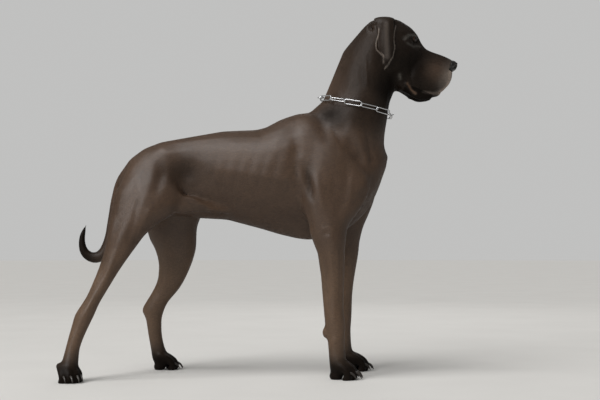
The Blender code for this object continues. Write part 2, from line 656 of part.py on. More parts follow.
def shape_face(thing):
    """Mouth line, nostrils, the groove between the lips and the hollows of the face."""
    points = points_of(thing)
    normals = normals_of(thing)
    s, t = head_ways(points)
    push = np.zeros(len(points))
    face = rise(-0.12, -0.10, s)
    for side in (RIGHT, LEFT):
        mine = rise(-0.002, 0.004, side * points[:, 1]) * face

        def line(path, width, depth):
            nonlocal push
            push -= mine * depth * along_path(points, [in_head(a, b, side * y) for a, b, y in path], width)

        line([(0.146, -0.117, 0.006), (0.128, -0.1310, 0.022), (0.100, -0.1400, 0.035),
              (0.070, -0.1460, 0.040), (0.045, -0.1490, 0.040), (0.026, -0.1400, 0.040)], 0.0035, 0.0060)
        line([(0.030, -0.052, 0.045), (0.020, -0.085, 0.050), (0.030, -0.118, 0.048)], 0.009, 0.0035)
        line([(0.040, -0.018, 0.030), (0.080, -0.035, 0.040), (0.115, -0.045, 0.036)], 0.008, 0.0018)
        line([(-0.002, -0.030, 0.060), (-0.020, -0.045, 0.070), (-0.050, -0.045, 0.075)], 0.012, 0.0030)
        hole = in_head(0.1500, -0.0350, side * 0.0115)
        push -= 0.0075 * closeness(points, hole, (0.0052, 0.0052, 0.0046)) * face
        slit = [in_head(0.146, -0.0395, side * 0.0170), in_head(0.138, -0.0405, side * 0.0205)]
        push -= 0.0035 * along_path(points, slit, 0.0028) * face
    push -= 0.0030 * along_path(points, [in_head(0.1545, -0.036, 0), in_head(0.150, -0.055, 0),
                                         in_head(0.152, -0.085, 0), in_head(0.148, -0.110, 0)], 0.0028)
    push -= 0.0030 * along_path(points, [in_head(-0.03, 0.040, 0), in_head(0.010, 0.020, 0),
                                         in_head(0.035, -0.01, 0)], 0.010)
    move_to(thing, points + normals * push[:, None])


def press_soles(thing):
    """Presses the pads flat on to the floor."""
    points = points_of(thing)
    points[:, 2] -= SOLE_PRESS * (1 - rise(0.006, 0.025, points[:, 2]))
    points[:, 2] = np.maximum(points[:, 2], 0)
    move_to(thing, points)


def skin(body):
    cells = body.modifiers.new("cells", "REMESH")
    cells.mode = "VOXEL"
    cells.voxel_size = SKIN_CELL
    settle(body)
    points = points_of(body)
    s, t = head_ways(points)
    on_head = rise(-0.10, -0.03, s)
    low = 1 - rise(0.075, 0.16, points[:, 2])
    limb = 1 - rise(0.36, 0.46, points[:, 2])
    tail_end = rise(-0.58, -0.60, points[:, 0]) * (np.abs(points[:, 1]) < 0.035) * (points[:, 2] > 0.3)
    tip = rise(0.11, 0.13, s) * (t > -0.06)
    share = 1 - 0.80 * np.maximum.reduce([on_head * 0.62, tip * 0.95, low, tail_end])
    share = np.minimum(share, 1 - 0.65 * limb)
    soften(body, share, 64)
    shape_muscles(body)
    soften(body, share, 8)
    wrap_lids(body)
    shape_face(body)
    soften(body, np.full(len(points), 0.5), 1)
    press_soles(body)


# Parts that are modelled on their own

def paint(thing, colour, roughness):
    look = bpy.data.materials.get(thing.name) or bpy.data.materials.new(thing.name)
    look.use_nodes = True
    shader = look.node_tree.nodes["Principled BSDF"]
    shader.inputs["Base Color"].default_value = (*colour, 1)
    shader.inputs["Roughness"].default_value = roughness
    thing.data.materials.clear()
    thing.data.materials.append(look)
    for face in thing.data.polygons:
        face.use_smooth = True


COAT, HORN, WET, STEEL = (0.060, 0.045, 0.036), (0.020, 0.017, 0.015), (0.030, 0.015, 0.008), (0.6, 0.6, 0.6)


def ear(side):
    """A hanging ear: folded over at its root, cupped behind and drawn to a point."""
    rows = [
        # out, up, rear edge, front edge, half thickness, cup
        (0.030, 1.084, 0.232, 0.290, 0.0060, 0.000),
        (0.046, 1.097, 0.226, 0.2935, 0.0056, 0.001),
        (0.061, 1.1025, 0.222, 0.2950, 0.0050, 0.004),
        (0.0740, 1.0985, 0.220, 0.2940, 0.0042, 0.008),
        (0.0825, 1.0840, 0.224, 0.2910, 0.0036, 0.010),
        (0.0860, 1.0600, 0.2310, 0.2885, 0.0031, 0.009),
        (0.0870, 1.0320, 0.2325, 0.2870, 0.0028, 0.007),
        (0.0870, 1.0080, 0.2330, 0.2880, 0.0026, 0.006),
        (0.0865, 0.9880, 0.2480, 0.2840, 0.0024, 0.004),
        (0.0850, 0.9710, 0.2540, 0.2790, 0.0022, 0.002),
        (0.0835, 0.9560, 0.2530, 0.2670, 0.0020, 0.001),
        (0.0825, 0.9475, 0.2550, 0.2600, 0.0014, 0.000),
    ]
    fine = between(rows, 2)
    middle = [Vector((0, side * r[0], r[1])) for r in fine]

    def place(along, across, thick):
        i = int(round(along))
        ahead = middle[min(i + 1, len(middle) - 1)]
        behind = middle[max(i - 1, 0)]
        run = (ahead - behind).normalized()
        outward = Vector((0, -run.z, run.y)) * side
        low, high = fine[i][2], fine[i][3]
        off = (across - (low + high) / 2) / ((high - low) / 2)
        return middle[i] + Vector((across, 0, 0)) + outward * (thick + fine[i][5] * (0.4 - off * off))

    bm = bmesh.new()
    simple = [(i, r[2], r[3], 0, r[4], 0.5, 0) for i, r in enumerate(fine)]
    tube(bm, simple, place, roundness=2.3, per_span=1, ring_points=10)
    return finished(bm, "ear_right" if side == RIGHT else "ear_left")


def eye_ball(side, extra=0.0, name="eye"):
    bm = bmesh.new()
    bmesh.ops.create_uvsphere(bm, u_segments=12, v_segments=8, radius=EYE_BALL_RADIUS + extra,
                              matrix=Matrix.Translation(eye_centre(side)))
    return finished(bm, name)


def eye_slit(side):
    """The almond opening between the lids, as a solid to cut with."""
    way = eye_way(side)
    ahead = in_head(1, 0, 0) - in_head(0, 0, 0)
    along = (ahead - way * ahead.dot(way)).normalized()
    up = Vector((0, 0, 1))
    up = (up - way * up.dot(way) - along * up.dot(along)).normalized()
    bm = bmesh.new()
    ring = bmesh.ops.create_circle(bm, segments=20, radius=1, cap_ends=True)["verts"]
    for k, v in enumerate(ring):
        turn = 2 * math.pi * k / 20
        a = 0.0128 * math.cos(turn)
        b = 0.0068 * math.sin(turn) * abs(math.sin(turn)) ** 0.25
        v.co = eye_centre(side) + way * 0.006 + along * a + up * b
    grown = bmesh.ops.extrude_face_region(bm, geom=list(bm.faces))["geom"]
    bmesh.ops.translate(bm, verts=[g for g in grown if isinstance(g, bmesh.types.BMVert)], vec=way * 0.03)
    return finished(bm, "eye_slit")


def claw(foot_name, number, extra=0.0):
    """A blunt curved claw; with extra it is the bed that is cut for it in the toe."""
    place = foot_place(foot_name)
    size = FEET[foot_name][4]
    sideways, reach, share = TOES[number]
    spread = sideways * 1.16
    sizes = [(0.0085, 0.0240, 0.0050), (0.0180, 0.0225, 0.0046), (0.0250, 0.0165, 0.0036),
             (0.0290, 0.0095, 0.0022), (0.0305, 0.0050, 0.0010)]
    path = [(*place(reach + a, spread, z), r * share * size + extra) for a, z, r in sizes]
    if extra:
        path[0] = (*place(reach + sizes[0][0] - extra, spread, sizes[0][1]), path[0][3])
    bm = bmesh.new()
    rope(bm, path, per_span=1, flat=0.85, ring_points=6)
    return finished(bm, "claw_%s_%d" % (foot_name, number + 1))


# Chain collar

def collar_path(body):
    """The line round the neck that the joints of the chain lie on, and the way off the skin."""
    nape = Vector((COLLAR_NAPE[0], 0, COLLAR_NAPE[1]))
    throat = Vector((COLLAR_THROAT[0], 0, COLLAR_THROAT[1]))
    centre = (nape + throat) / 2
    back = (nape - throat).normalized()
    sideways = Vector((0, 1, 0))
    tree = BVHTree.FromObject(body, bpy.context.evaluated_depsgraph_get())
    reach = []
    faced = []
    for k in range(180):
        turn = 2 * math.pi * k / 180
        way = back * math.cos(turn) - sideways * math.sin(turn)
        _, normal, _, distance = tree.ray_cast(centre, way)
        reach.append(distance)
        faced.append(normal)
    skin_reach = list(reach)
    for _ in range(40):
        reach = [(reach[k - 1] + 2 * reach[k] + reach[(k + 1) % 180]) / 4 for k in range(180)]
        faced = [(faced[k - 1] + 2 * faced[k] + faced[(k + 1) % 180]) / 4 for k in range(180)]
    reach = [max(pair) for pair in zip(reach, skin_reach)]
    ring = []
    for k in range(180):
        turn = 2 * math.pi * k / 180
        way = back * math.cos(turn) - sideways * math.sin(turn)
        ring.append(centre + way * reach[k] + faced[k].normalized() * COLLAR_STAND_OFF)
    return ring, faced


def chain_joints(ring, steps):
    """Joints set along the ring at the given chord lengths, and the length left over."""
    count = len(ring)
    joints = [ring[0]]
    position = 0.0

    def at(value):
        i = int(value) % count
        return ring[i].lerp(ring[(i + 1) % count], value - int(value))

    for step in steps:
        while (at(position) - joints[-1]).length < step:
            position += 0.02
        joints.append(at(position))
    return joints, position - count


def link_shape(bm, frame, length, width, wire, around, across):
    """One oval link of round wire, lying in the frame's own plane."""
    half_width = (width - wire) / 2
    straight = (length - wire) / 2 - half_width
    circle = bmesh.ops.create_circle(bm, segments=across, radius=wire / 2)["verts"]
    ring = circle
    spots = []
    for k in range(around):
        turn = 2 * math.pi * (k + 0.5) / around
        x = math.cos(turn) * half_width + math.copysign(straight, math.cos(turn))
        spots.append((Vector((x, math.sin(turn) * half_width, 0)), turn))
    rings = [ring]
    ring_edges = list({e for v in ring for e in v.link_edges})
    for _ in range(around - 1):
        grown = bmesh.ops.extrude_edge_only(bm, edges=ring_edges)["geom"]
        new = [g for g in grown if isinstance(g, bmesh.types.BMVert)]
        partner = {e.other_vert(v): v for v in new for e in v.link_edges if e.other_vert(v) in set(rings[-1])}
        rings.append([partner[v] for v in rings[-1]])
        ring_edges = [g for g in grown if isinstance(g, bmesh.types.BMEdge)
                      and g.verts[0] in new and g.verts[1] in new]
    for (spot, turn), verts in zip(spots, rings):
        out = Vector((math.cos(turn), math.sin(turn), 0))
        for j, v in enumerate(verts):
            around_wire = 2 * math.pi * j / across
            v.co = frame @ (spot + out * math.cos(around_wire) * wire / 2
                            + Vector((0, 0, 1)) * math.sin(around_wire) * wire / 2)
    closing = list({e for v in rings[0] for e in v.link_edges if e.other_vert(v) in set(rings[0])})
    opening = list({e for v in rings[-1] for e in v.link_edges if e.other_vert(v) in set(rings[-1])})
    bmesh.ops.bridge_loops(bm, edges=closing + opening)


def collar(body):
    """A chain of long flat links with a small ring at the nape and one at the throat."""
    ring, faced = collar_path(body)
    ring_chord = RING_WIDTH - LINK_WIRE - (LINK_WIRE + LINK_PLAY)
    rolls = (RING_ROLLS[0], *LINK_ROLLS_RIGHT, RING_ROLLS[1], *LINK_ROLLS_LEFT)
    second = 1 + len(LINK_ROLLS_RIGHT)
    low, high = 0.03, 0.07
    for _ in range(22):
        chord = (low + high) / 2
        steps = [ring_chord if i in (0, second) else chord for i in range(len(rolls))]
        joints, left_over = chain_joints(ring, steps)
        if left_over > 0:
            high = chord
        else:
            low = chord
    links = 0
    for i, roll in enumerate(rolls):
        a, b = joints[i], joints[i + 1]
        along = (b - a).normalized()
        middle = (a + b) / 2
        out = faced[min(range(180), key=lambda k: (ring[k] - middle).length)]
        out = (out - along * out.dot(along)).normalized()
        frame = Matrix((along, out.cross(along), out)).transposed().to_4x4()
        frame = Matrix.Translation(middle) @ frame @ Matrix.Rotation(math.radians(roll), 4, "X")
        bm = bmesh.new()
        if i in (0, second):
            link_shape(bm, frame, RING_WIDTH, RING_WIDTH, LINK_WIRE, 12, 5)
            name = "collar_ring_nape" if i == 0 else "collar_ring_throat"
        else:
            links += 1
            link_shape(bm, frame, chord + 2 * LINK_WIRE + LINK_PLAY, LINK_WIDTH, LINK_WIRE, 10, 5)
            name = "collar_link_%02d" % links
        paint(finished(bm, name), STEEL, 0.25)


# Parting the whole into its nodes

def thin_out(thing, regions):
    """Fewer faces region by region: (test of the points, share of the faces kept)."""
    bpy.context.view_layer.objects.active = thing
    for inside, kept in regions:
        points = points_of(thing)
        chosen = inside(points)
        bpy.ops.object.mode_set(mode="EDIT")
        bpy.ops.mesh.select_mode(type="VERT")
        bpy.ops.mesh.select_all(action="DESELECT")
        bpy.ops.object.mode_set(mode="OBJECT")
        thing.data.vertices.foreach_set("select", chosen)
        bpy.ops.object.mode_set(mode="EDIT")
        bpy.ops.mesh.decimate(ratio=kept)
        bpy.ops.object.mode_set(mode="OBJECT")


def volume_of(thing):
    bm = bmesh.new()
    bm.from_mesh(thing.data)
    volume = bm.calc_volume()
    area = sum(face.calc_area() for face in bm.faces)
    bm.free()
    return volume, area


def thinner(body):
    def is_head(p):
        s, t = head_ways(p)
        return s > -0.17

    def is_face(p):
        s, t = head_ways(p)
        return (s > -0.03) & (t < 0.03)

    def is_neck(p):
        return (p[:, 2] > 0.90 - 0.44 * p[:, 0]) & ~is_head(p)

    regions = [
        (is_neck, 0.0280),
        (lambda p: (p[:, 2] > 0.46) & ~is_head(p) & ~is_neck(p), 0.0120),
        (lambda p: is_head(p) & ~is_face(p), 0.022),
        (is_face, 0.052),
        (lambda p: (p[:, 2] > 0.065) & (p[:, 2] <= 0.46), 0.0076),
        (lambda p: p[:, 2] <= 0.065, 0.034),
    ]
    before = volume_of(body)[0]
    thin_out(body, regions)
    after, area = volume_of(body)
    # The flat facets cut inside the round skin, so every point moves out by what that loses
    points = points_of(body)
    s, t = head_ways(points)
    fine = np.maximum(rise(-0.06, 0.0, s), 1 - rise(0.05, 0.09, points[:, 2]))
    out = (before - after) / area * (1.25 - 0.95 * fine)
    out[points[:, 2] < 0.004] = 0
    move_to(body, points + normals_of(body) * out[:, None])
    bm = bmesh.new()
    bmesh.ops.create_cube(bm, size=2, matrix=Matrix.Translation((0, 0, SOLE_TRIM - 1)))
    cut(body, finished(bm, "floor"))


def slab(bm, centre, normal, run, length, width):
    """A sheet as thick as the gap between two nodes, across the given normal."""
    normal = Vector(normal).normalized()
    run = Vector(run)
    run = (run - normal * run.dot(normal)).normalized()
    turn = Matrix((run, normal.cross(run), normal)).transposed().to_4x4()
    size = Matrix.Diagonal((length, width, CUT_GAP, 1))
    bmesh.ops.create_cube(bm, size=1, matrix=Matrix.Translation(centre) @ turn @ size)


def cut(thing, cutter):
    step = thing.modifiers.new("cut", "BOOLEAN")
    step.operation = "DIFFERENCE"
    step.solver = "EXACT"
    step.object = cutter
    settle(thing)
    bpy.data.objects.remove(cutter, do_unlink=True)


def head_box(low, high):
    """A box in the head's own directions, from its low corner to its high one."""
    bm = bmesh.new()
    bmesh.ops.create_cube(bm, size=1)
    for v in bm.verts:
        at = [low[i] + (v.co[i] + 0.5) * (high[i] - low[i]) for i in range(3)]
        v.co = in_head(*at)
    return finished(bm, "box")


def part_nodes(body):
    for side in (RIGHT, LEFT):
        cut(body, eye_ball(side, CUT_GAP, "socket"))
        cut(body, eye_slit(side))
    cut(body, head_box((0.1300, -0.0520, -0.04), (0.1300 + CUT_GAP, 0.01, 0.04)))
    cut(body, head_box((0.1290, -0.0520, -0.04), (0.17, -0.0520 + CUT_GAP, 0.04)))
    bm = bmesh.new()
    slab(bm, (0.235, 0, 0.985), (0.890, 0, 0.456), (0.456, 0, -0.890), 0.30, 0.26)
    slab(bm, (0.165, 0, 0.797), (0.40, 0, 0.916), (0.916, 0, -0.40), 0.34, 0.26)
    slab(bm, (-0.5735, 0.001, 0.516), (0.20, 0, 0.98), (0.98, 0, -0.20), 0.085, 0.0625)
    for side in (RIGHT, LEFT):
        fore = 0.0 if side == RIGHT else 0.035
        hind = 0.0 if side == RIGHT else 0.035
        rise_out = 1.25
        slab(bm, (0.095 + fore, side * 0.122, 0.492), (0, -side * rise_out, 1), (1, 0, 0), 0.32, 0.200)
        slab(bm, (-0.455 + hind, side * 0.113, 0.552), (0.46, -side * 0.75, 1), (1, 0, -0.46), 0.37, 0.205)
    for name, (x, y, side, out, size) in FEET.items():
        slab(bm, (x, y, 0.058), (0, 0, 1), (1, 0, 0), 0.16, 0.12)
    cut(body, finished(bm, "thin_cuts"))
    bm = bmesh.new()
    for side in (RIGHT, LEFT):
        hind = 0.0 if side == RIGHT else 0.035
        slab(bm, (-0.455 + hind, side * 0.0325, 0.455), (0, 1, 0), (1, 0, -0.46), 0.37, 0.080)
    cut(body, finished(bm, "groin_cuts"))


def pieces_of(body):
    """The closed pieces the cuts have left, largest first."""
    bpy.ops.object.select_all(action="DESELECT")
    body.select_set(True)
    bpy.context.view_layer.objects.active = body
    bpy.ops.mesh.separate(type="LOOSE")
    found = list(bpy.context.selected_objects)
    found.sort(key=lambda thing: -len(thing.data.vertices))
    return found


HOMES = {
    # a point deep inside each node
    "torso": (-0.10, 0, 0.62), "neck": (0.18, 0, 0.90), "head": (0.31, 0, 1.03), "tail": (-0.59, 0, 0.44),
    "leg_front_right": (0.105, -0.115, 0.25), "leg_front_left": (0.14, 0.115, 0.25),
    "leg_hind_right": (-0.60, -0.14, 0.32), "leg_hind_left": (-0.42, 0.13, 0.30),
    "paw_front_right": (0.13, -0.117, 0.03), "paw_front_left": (0.175, 0.117, 0.03),
    "paw_hind_right": (-0.684, -0.19, 0.03), "paw_hind_left": (-0.44, 0.152, 0.03),
    "nose": (0.488, 0, 0.962),
}


def name_nodes(body):
    pieces = pieces_of(body)
    for name, home in HOMES.items():
        def distance(thing):
            gap = points_of(thing) - np.array(home)
            return np.sqrt((gap ** 2).sum(axis=1)).min()

        big = [thing for thing in pieces if len(thing.data.vertices) > 60]
        best = min(big, key=distance)
        best.name = name
        pieces.remove(best)
        paint(best, HORN if name == "nose" else COAT, 0.5)
    for scrap in pieces:
        bpy.data.objects.remove(scrap, do_unlink=True)


def larger_copy(thing, extra):
    copy = thing.copy()
    copy.data = thing.data.copy()
    bpy.context.collection.objects.link(copy)
    move_to(copy, points_of(copy) + normals_of(copy) * extra)
    return copy


def keep_largest(thing):
    bm = bmesh.new()
    bm.from_mesh(thing.data)
    left = set(bm.verts)
    best = set()
    while left:
        seed = left.pop()
        group = {seed}
        queue = [seed]
        while queue:
            for e in queue.pop().link_edges:
                for v in e.verts:
                    if v in left:
                        left.discard(v)
                        group.add(v)
                        queue.append(v)
        if len(group) > len(best):
            best = group
    bmesh.ops.delete(bm, geom=[v for v in bm.verts if v not in best], context="VERTS")
    bm.to_mesh(thing.data)
    bm.free()


def centre_on_floor():
    """Moves the dog so that it stands on z = 0 with the middle of its footprint at the origin."""
    things = list(bpy.context.scene.objects)
    every = np.vstack([points_of(thing) for thing in things])
    low, high = every.min(axis=0), every.max(axis=0)
    shift = np.array(((low[0] + high[0]) / 2, (low[1] + high[1]) / 2, low[2]))
    for thing in things:
        move_to(thing, points_of(thing) - shift)
    return shift


def main():
    for thing in list(bpy.data.objects):
        bpy.data.objects.remove(thing, do_unlink=True)
    body = flesh()
    skin(body)
    thinner(body)
    collar(body)
    part_nodes(body)
    name_nodes(body)
    head = bpy.data.objects["head"]
    for side in (RIGHT, LEFT):
        flap = ear(side)
        cut(flap, larger_copy(head, CUT_GAP))
        keep_largest(flap)
        paint(flap, COAT, 0.5)
        paint(eye_ball(side, 0.0, "eye_right" if side == RIGHT else "eye_left"), WET, 0.1)
    for foot_name in FEET:
        paw = bpy.data.objects["paw_" + foot_name]
        for number in range(len(TOES)):
            cut(paw, claw(foot_name, number, CUT_GAP))
            paint(claw(foot_name, number), HORN, 0.4)
        keep_largest(paw)
    centre_on_floor()


main()
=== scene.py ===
import math
from typing import NamedTuple

import bmesh
import bpy
import numpy as np
from mathutils import Matrix, Vector
from mathutils.bvhtree import BVHTree


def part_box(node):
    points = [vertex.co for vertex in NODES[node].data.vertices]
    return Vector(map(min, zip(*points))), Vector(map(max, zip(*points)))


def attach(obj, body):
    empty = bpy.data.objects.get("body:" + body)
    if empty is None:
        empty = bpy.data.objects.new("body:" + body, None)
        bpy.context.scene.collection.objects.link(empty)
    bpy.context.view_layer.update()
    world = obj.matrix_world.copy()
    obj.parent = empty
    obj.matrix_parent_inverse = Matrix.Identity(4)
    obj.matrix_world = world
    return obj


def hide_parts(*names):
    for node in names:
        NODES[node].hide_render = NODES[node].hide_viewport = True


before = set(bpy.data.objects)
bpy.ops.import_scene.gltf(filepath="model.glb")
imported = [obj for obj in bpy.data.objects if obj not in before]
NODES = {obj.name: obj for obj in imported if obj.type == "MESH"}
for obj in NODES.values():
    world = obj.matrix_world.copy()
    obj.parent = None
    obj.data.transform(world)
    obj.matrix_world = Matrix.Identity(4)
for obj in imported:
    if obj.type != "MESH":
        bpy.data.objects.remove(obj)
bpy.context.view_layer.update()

RIGHT, LEFT = -1, 1
SIDES = (RIGHT, LEFT)
SIDE_NAMES = {RIGHT: "right", LEFT: "left"}
RANDOM = np.random.default_rng(7)

# Head: the two eyes give its place, the tilt is that of the muzzle
HEAD_TILT = math.radians(20)
EYE_IN_HEAD = (-0.0090, -0.0035)
EYE_RADIUS = 0.0125
EYE_TURN_OUT = math.radians(48)
HEAD_IN_BODY = Vector((0.3575, 0.0, 1.04375))

# Camera of the photograph, in the dog's own directions
CAMERA_PLACE = Vector((0.0, -3.4, 0.40))
LENS = 65.28
SENSOR = 36.0
SHIFT_Y = 47 / 600
PHOTO_CENTRE = (300, 247)
PIXELS_PER_METRE_AT_ONE = 1088

# How far from the dog's middle the surface lies that a stroke of the photograph is on
TRUNK_SIDE, NECK_SIDE, JAW_SIDE, FACE_SIDE, EAR_SIDE = -0.12, -0.07, -0.06, -0.045, -0.085

# Skin, in metres
GAP_CLOSER = 0.00028
WELD = 0.00002
CELL = 0.0020
COAT_DEPTH = 0.0011
LID_THICK, LID_ROLL, LID_CREASE, LID_TUCK = 0.0017, 0.0010, 0.0006, 0.0022
NOSE_CELL = 0.0008
NOSE_BED, NOSE_BED_BACK = 0.0011, 0.009

# Coat, for a tuft on the back, in metres
TUFT_LENGTH = 0.0100
TUFT_HALF_WIDTH = 0.00085
TUFT_SINK = 0.00016
TUFT_RIDGE = 0.00010
RIDGE_ALONG = 0.35
TUFTS_PER_SQUARE_MM = 0.145
PATCH = 0.0015
DEEPEST_FALL, HIGHEST_FALL = -0.0040, 0.0024


def head_axes():
    """Ahead along the muzzle, to the left, and up across the muzzle."""
    c, s = math.cos(HEAD_TILT), math.sin(HEAD_TILT)
    return Vector((c, 0, -s)), Vector((0, 1, 0)), Vector((s, 0, c))


def eye_middle():
    """The point halfway between the two eyeballs."""
    corners = [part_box("eye_right"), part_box("eye_left")]
    return sum((low + high for low, high in corners), Vector()) / 4


AHEAD, ACROSS, UP = head_axes()
HEAD_MIDDLE = eye_middle() - AHEAD * EYE_IN_HEAD[0] - UP * EYE_IN_HEAD[1]
HOME = HEAD_MIDDLE - HEAD_IN_BODY


def in_head(along, across, side):
    """A point of the head: along the muzzle, up across it, and sideways."""
    return HEAD_MIDDLE + AHEAD * along + UP * across + ACROSS * side


def seen(px, py, deep):
    """The place that a point of the photograph has in side view, on a surface that far from the middle."""
    scale = (deep - CAMERA_PLACE.y) / PIXELS_PER_METRE_AT_ONE
    z = CAMERA_PLACE.z + (PHOTO_CENTRE[1] - py) * scale + HOME.z
    return (px - PHOTO_CENTRE[0]) * scale + HOME.x, z


def seen_path(path, deep):
    """The same for each point of a path."""
    return np.array([seen(px, py, deep) for px, py in path])


# Tools for forming the skin

def rise(low, high, value):
    """0 below low, 1 above high, and a soft step between."""
    t = np.clip((value - low) / (high - low), 0, 1)
    return t * t * (3 - 2 * t)


def vertex_values(thing, name):
    """One triple for each point of the mesh."""
    values = np.empty(len(thing.data.vertices) * 3)
    thing.data.vertices.foreach_get(name, values)
    return values.reshape(-1, 3)


def points_of(thing):
    """Where the mesh's points are."""
    return vertex_values(thing, "co")


def normals_of(thing):
    """The way the mesh faces at each point."""
    return vertex_values(thing, "normal")


def move_to(thing, points):
    """Moves the mesh's points there."""
    thing.data.vertices.foreach_set("co", points.ravel())
    thing.data.update()


def in_scene(name, data):
    """An object of the scene with that mesh, light or camera."""
    thing = bpy.data.objects.new(name, data)
    bpy.context.scene.collection.objects.link(thing)
    return thing


def new_thing(bm, name):
    """An object of the scene from a bmesh, which is freed."""
    mesh = bpy.data.meshes.new(name)
    bm.to_mesh(mesh)
    bm.free()
    return in_scene(name, mesh)


def settle(thing):
    """The object's modifiers made part of its mesh."""
    graph = bpy.context.evaluated_depsgraph_get()
    mesh = bpy.data.meshes.new_from_object(thing.evaluated_get(graph))
    old = thing.data
    thing.modifiers.clear()
    thing.data = mesh
    bpy.data.meshes.remove(old)


def soften(thing, share, times):
    """Smooths the mesh, each point by its share between 0 and 1."""
    group = thing.vertex_groups.new(name="share")
    for level in range(1, 11):
        members = np.nonzero((share > (level - 0.5) / 10) & (share <= (level + 0.5) / 10))[0]
        group.add(members.tolist(), level / 10, "REPLACE")
    smooth = thing.modifiers.new("soften", "SMOOTH")
    smooth.vertex_group = "share"
    smooth.iterations = times
    smooth.factor = 0.5
    settle(thing)
    thing.vertex_groups.clear()


def head_ways(points):
    """How far each point lies ahead of the head's middle along the muzzle, and up across it."""
    gap = points - np.array(HEAD_MIDDLE)
    return gap @ np.array(AHEAD), gap @ np.array(UP)


class Line(NamedTuple):
    """A ridge, or a groove where height is negative, along a path of the photograph; sizes in mm."""
    path: list
    width: float
    height: float
    ends: float = 0.18
    sides: tuple = SIDES
    deep: float = None


class Mound(NamedTuple):
    """A swelling, or a hollow where height is negative, at a point of the photograph; sizes in mm."""
    px: float
    py: float
    wide: float
    high: float
    height: float
    sides: tuple = SIDES
    deep: float = None


class Clay:
    """The skin while it is being formed: strokes add up in push, and press() carries them out."""

    def __init__(self, thing):
        """Takes up a mesh to form."""
        self.thing = thing
        self.points = points_of(thing)
        self.normals = normals_of(thing)
        self.push = np.zeros(len(self.points))
        self.out = self.points[:, 1] - HOME.y

    def press(self):
        """Moves the skin in or out by what the strokes came to."""
        move_to(self.thing, self.points + self.normals * self.push[:, None])

    def form(self, strokes, deep=TRUNK_SIDE):
        """Adds a list of strokes in its order, on a surface that far from the middle unless they say."""
        for stroke in strokes:
            add_stroke = self.line if isinstance(stroke, Line) else self.mound
            add_stroke(stroke, deep if stroke.deep is None else stroke.deep)

    def facing(self, side, chosen):
        """1 where the skin looks to that side and lies on it."""
        return rise(0.05, 0.45, side * self.normals[chosen, 1]) * (side * self.out[chosen] > -0.004)

    def carve(self, points, path, width, height, ends, facing):
        """Pushes the skin near a path: width and height in mm, facing gives each point's part."""
        chosen, near, where = near_path(points, path, width / 1000)
        fade = np.minimum(rise(0, ends, where), 1 - rise(1 - ends, 1, where)) * 0.9 + 0.1
        share = np.exp(-(near / (width / 1000)) ** 2) * fade
        self.push[chosen] += height / 1000 * (share * facing(chosen))

    def line(self, stroke, deep):
        """Adds one Line."""
        path = seen_path(stroke.path, deep)
        for side in stroke.sides:
            self.carve(self.points[:, [0, 2]], path, stroke.width, stroke.height, stroke.ends,
                       lambda chosen, side=side: self.facing(side, chosen))

    def mound(self, stroke, deep):
        """Adds one Mound."""
        x, z = seen(stroke.px, stroke.py, deep)
        dx, dz = self.points[:, 0] - x, self.points[:, 2] - z
        far = (dx / (stroke.wide / 1000)) ** 2 + (dz / (stroke.high / 1000)) ** 2
        chosen = np.nonzero(far < 9)[0]
        for side in stroke.sides:
            self.push[chosen] += stroke.height / 1000 * (np.exp(-far[chosen]) * self.facing(side, chosen))

    def head_line(self, path, width, height, ends=0.18, sides=SIDES):
        """A Line along points of the head, (along, across, side) in metres."""
        for side in sides:
            line = np.array([in_head(a, b, side * y) for a, b, y in path])
            self.carve(self.points, line, width, height, ends, lambda chosen: 1.0)

    def ball(self, centre, radii, height):
        """A swelling round a point of space, radii and height in mm."""
        gap = (self.points - np.array(centre)) / (np.array(radii) / 1000)
        self.push += height / 1000 * np.exp(-(gap ** 2).sum(axis=1))


def near_path(points, path, width):
    """The points within three widths of a path's box, how far from it, and where along it."""
    low, high = path.min(axis=0) - 3 * width, path.max(axis=0) + 3 * width
    chosen = np.nonzero(((points > low) & (points < high)).all(axis=1))[0]
    return (chosen,) + distance_along(points[chosen], path)


def distance_along(points, path):
    """How far each point is from a path, and where along it, from 0 to 1."""
    best = np.full(len(points), 1e9)
    where = np.zeros(len(points))
    lengths = np.linalg.norm(np.diff(path, axis=0), axis=1)
    run = 0.0
    for a, b, length in zip(path[:-1], path[1:], lengths):
        t = np.clip(((points - a) @ (b - a)) / length ** 2, 0, 1)
        gap = np.linalg.norm(points - (a + t[:, None] * (b - a)), axis=1)
        nearer = gap < best
        best[nearer] = gap[nearer]
        where[nearer] = (run + t[nearer] * length) / lengths.sum()
        run += length
    return best, where


# The skin

FEET = ["front_right", "front_left", "hind_right", "hind_left"]
FLESH = (["torso", "neck", "head", "tail"] + ["leg_" + foot for foot in FEET]
         + ["paw_" + foot for foot in FEET] + ["ear_right", "ear_left"])
FILLING = ["nose", "eye_right", "eye_left"]


def joined(names, spread):
    """Merged copies of the nodes in one mesh, each grown by a little so that they meet."""
    bm = bmesh.new()
    for name in names:
        bm.from_mesh(NODES[name].data)
    bmesh.ops.remove_doubles(bm, verts=bm.verts, dist=WELD)
    bm.normal_update()
    for v in bm.verts:
        v.co += v.normal * spread
    return bm


def thin_out(thing, regions):
    """Fewer faces region by region: (test of the points, share of the faces kept)."""
    bpy.context.view_layer.objects.active = thing
    for inside, kept in regions:
        chosen = inside(points_of(thing))
        bpy.ops.object.mode_set(mode="EDIT")
        bpy.ops.mesh.select_mode(type="VERT")
        bpy.ops.mesh.select_all(action="DESELECT")
        bpy.ops.object.mode_set(mode="OBJECT")
        thing.data.vertices.foreach_set("select", chosen)
        bpy.ops.object.mode_set(mode="EDIT")
        bpy.ops.mesh.decimate(ratio=kept)
        bpy.ops.object.mode_set(mode="OBJECT")


def head_part(points, low, high):
    """1 on the head ahead of a plane across it, 0 behind the plane and on all below the jaw."""
    s, t = head_ways(points)
    return rise(low, high, s) * rise(-0.225, -0.190, t)


def is_head(points):
    """The head, ears included, cut from the neck behind them."""
    return head_part(points, -0.171, -0.170) > 0.5


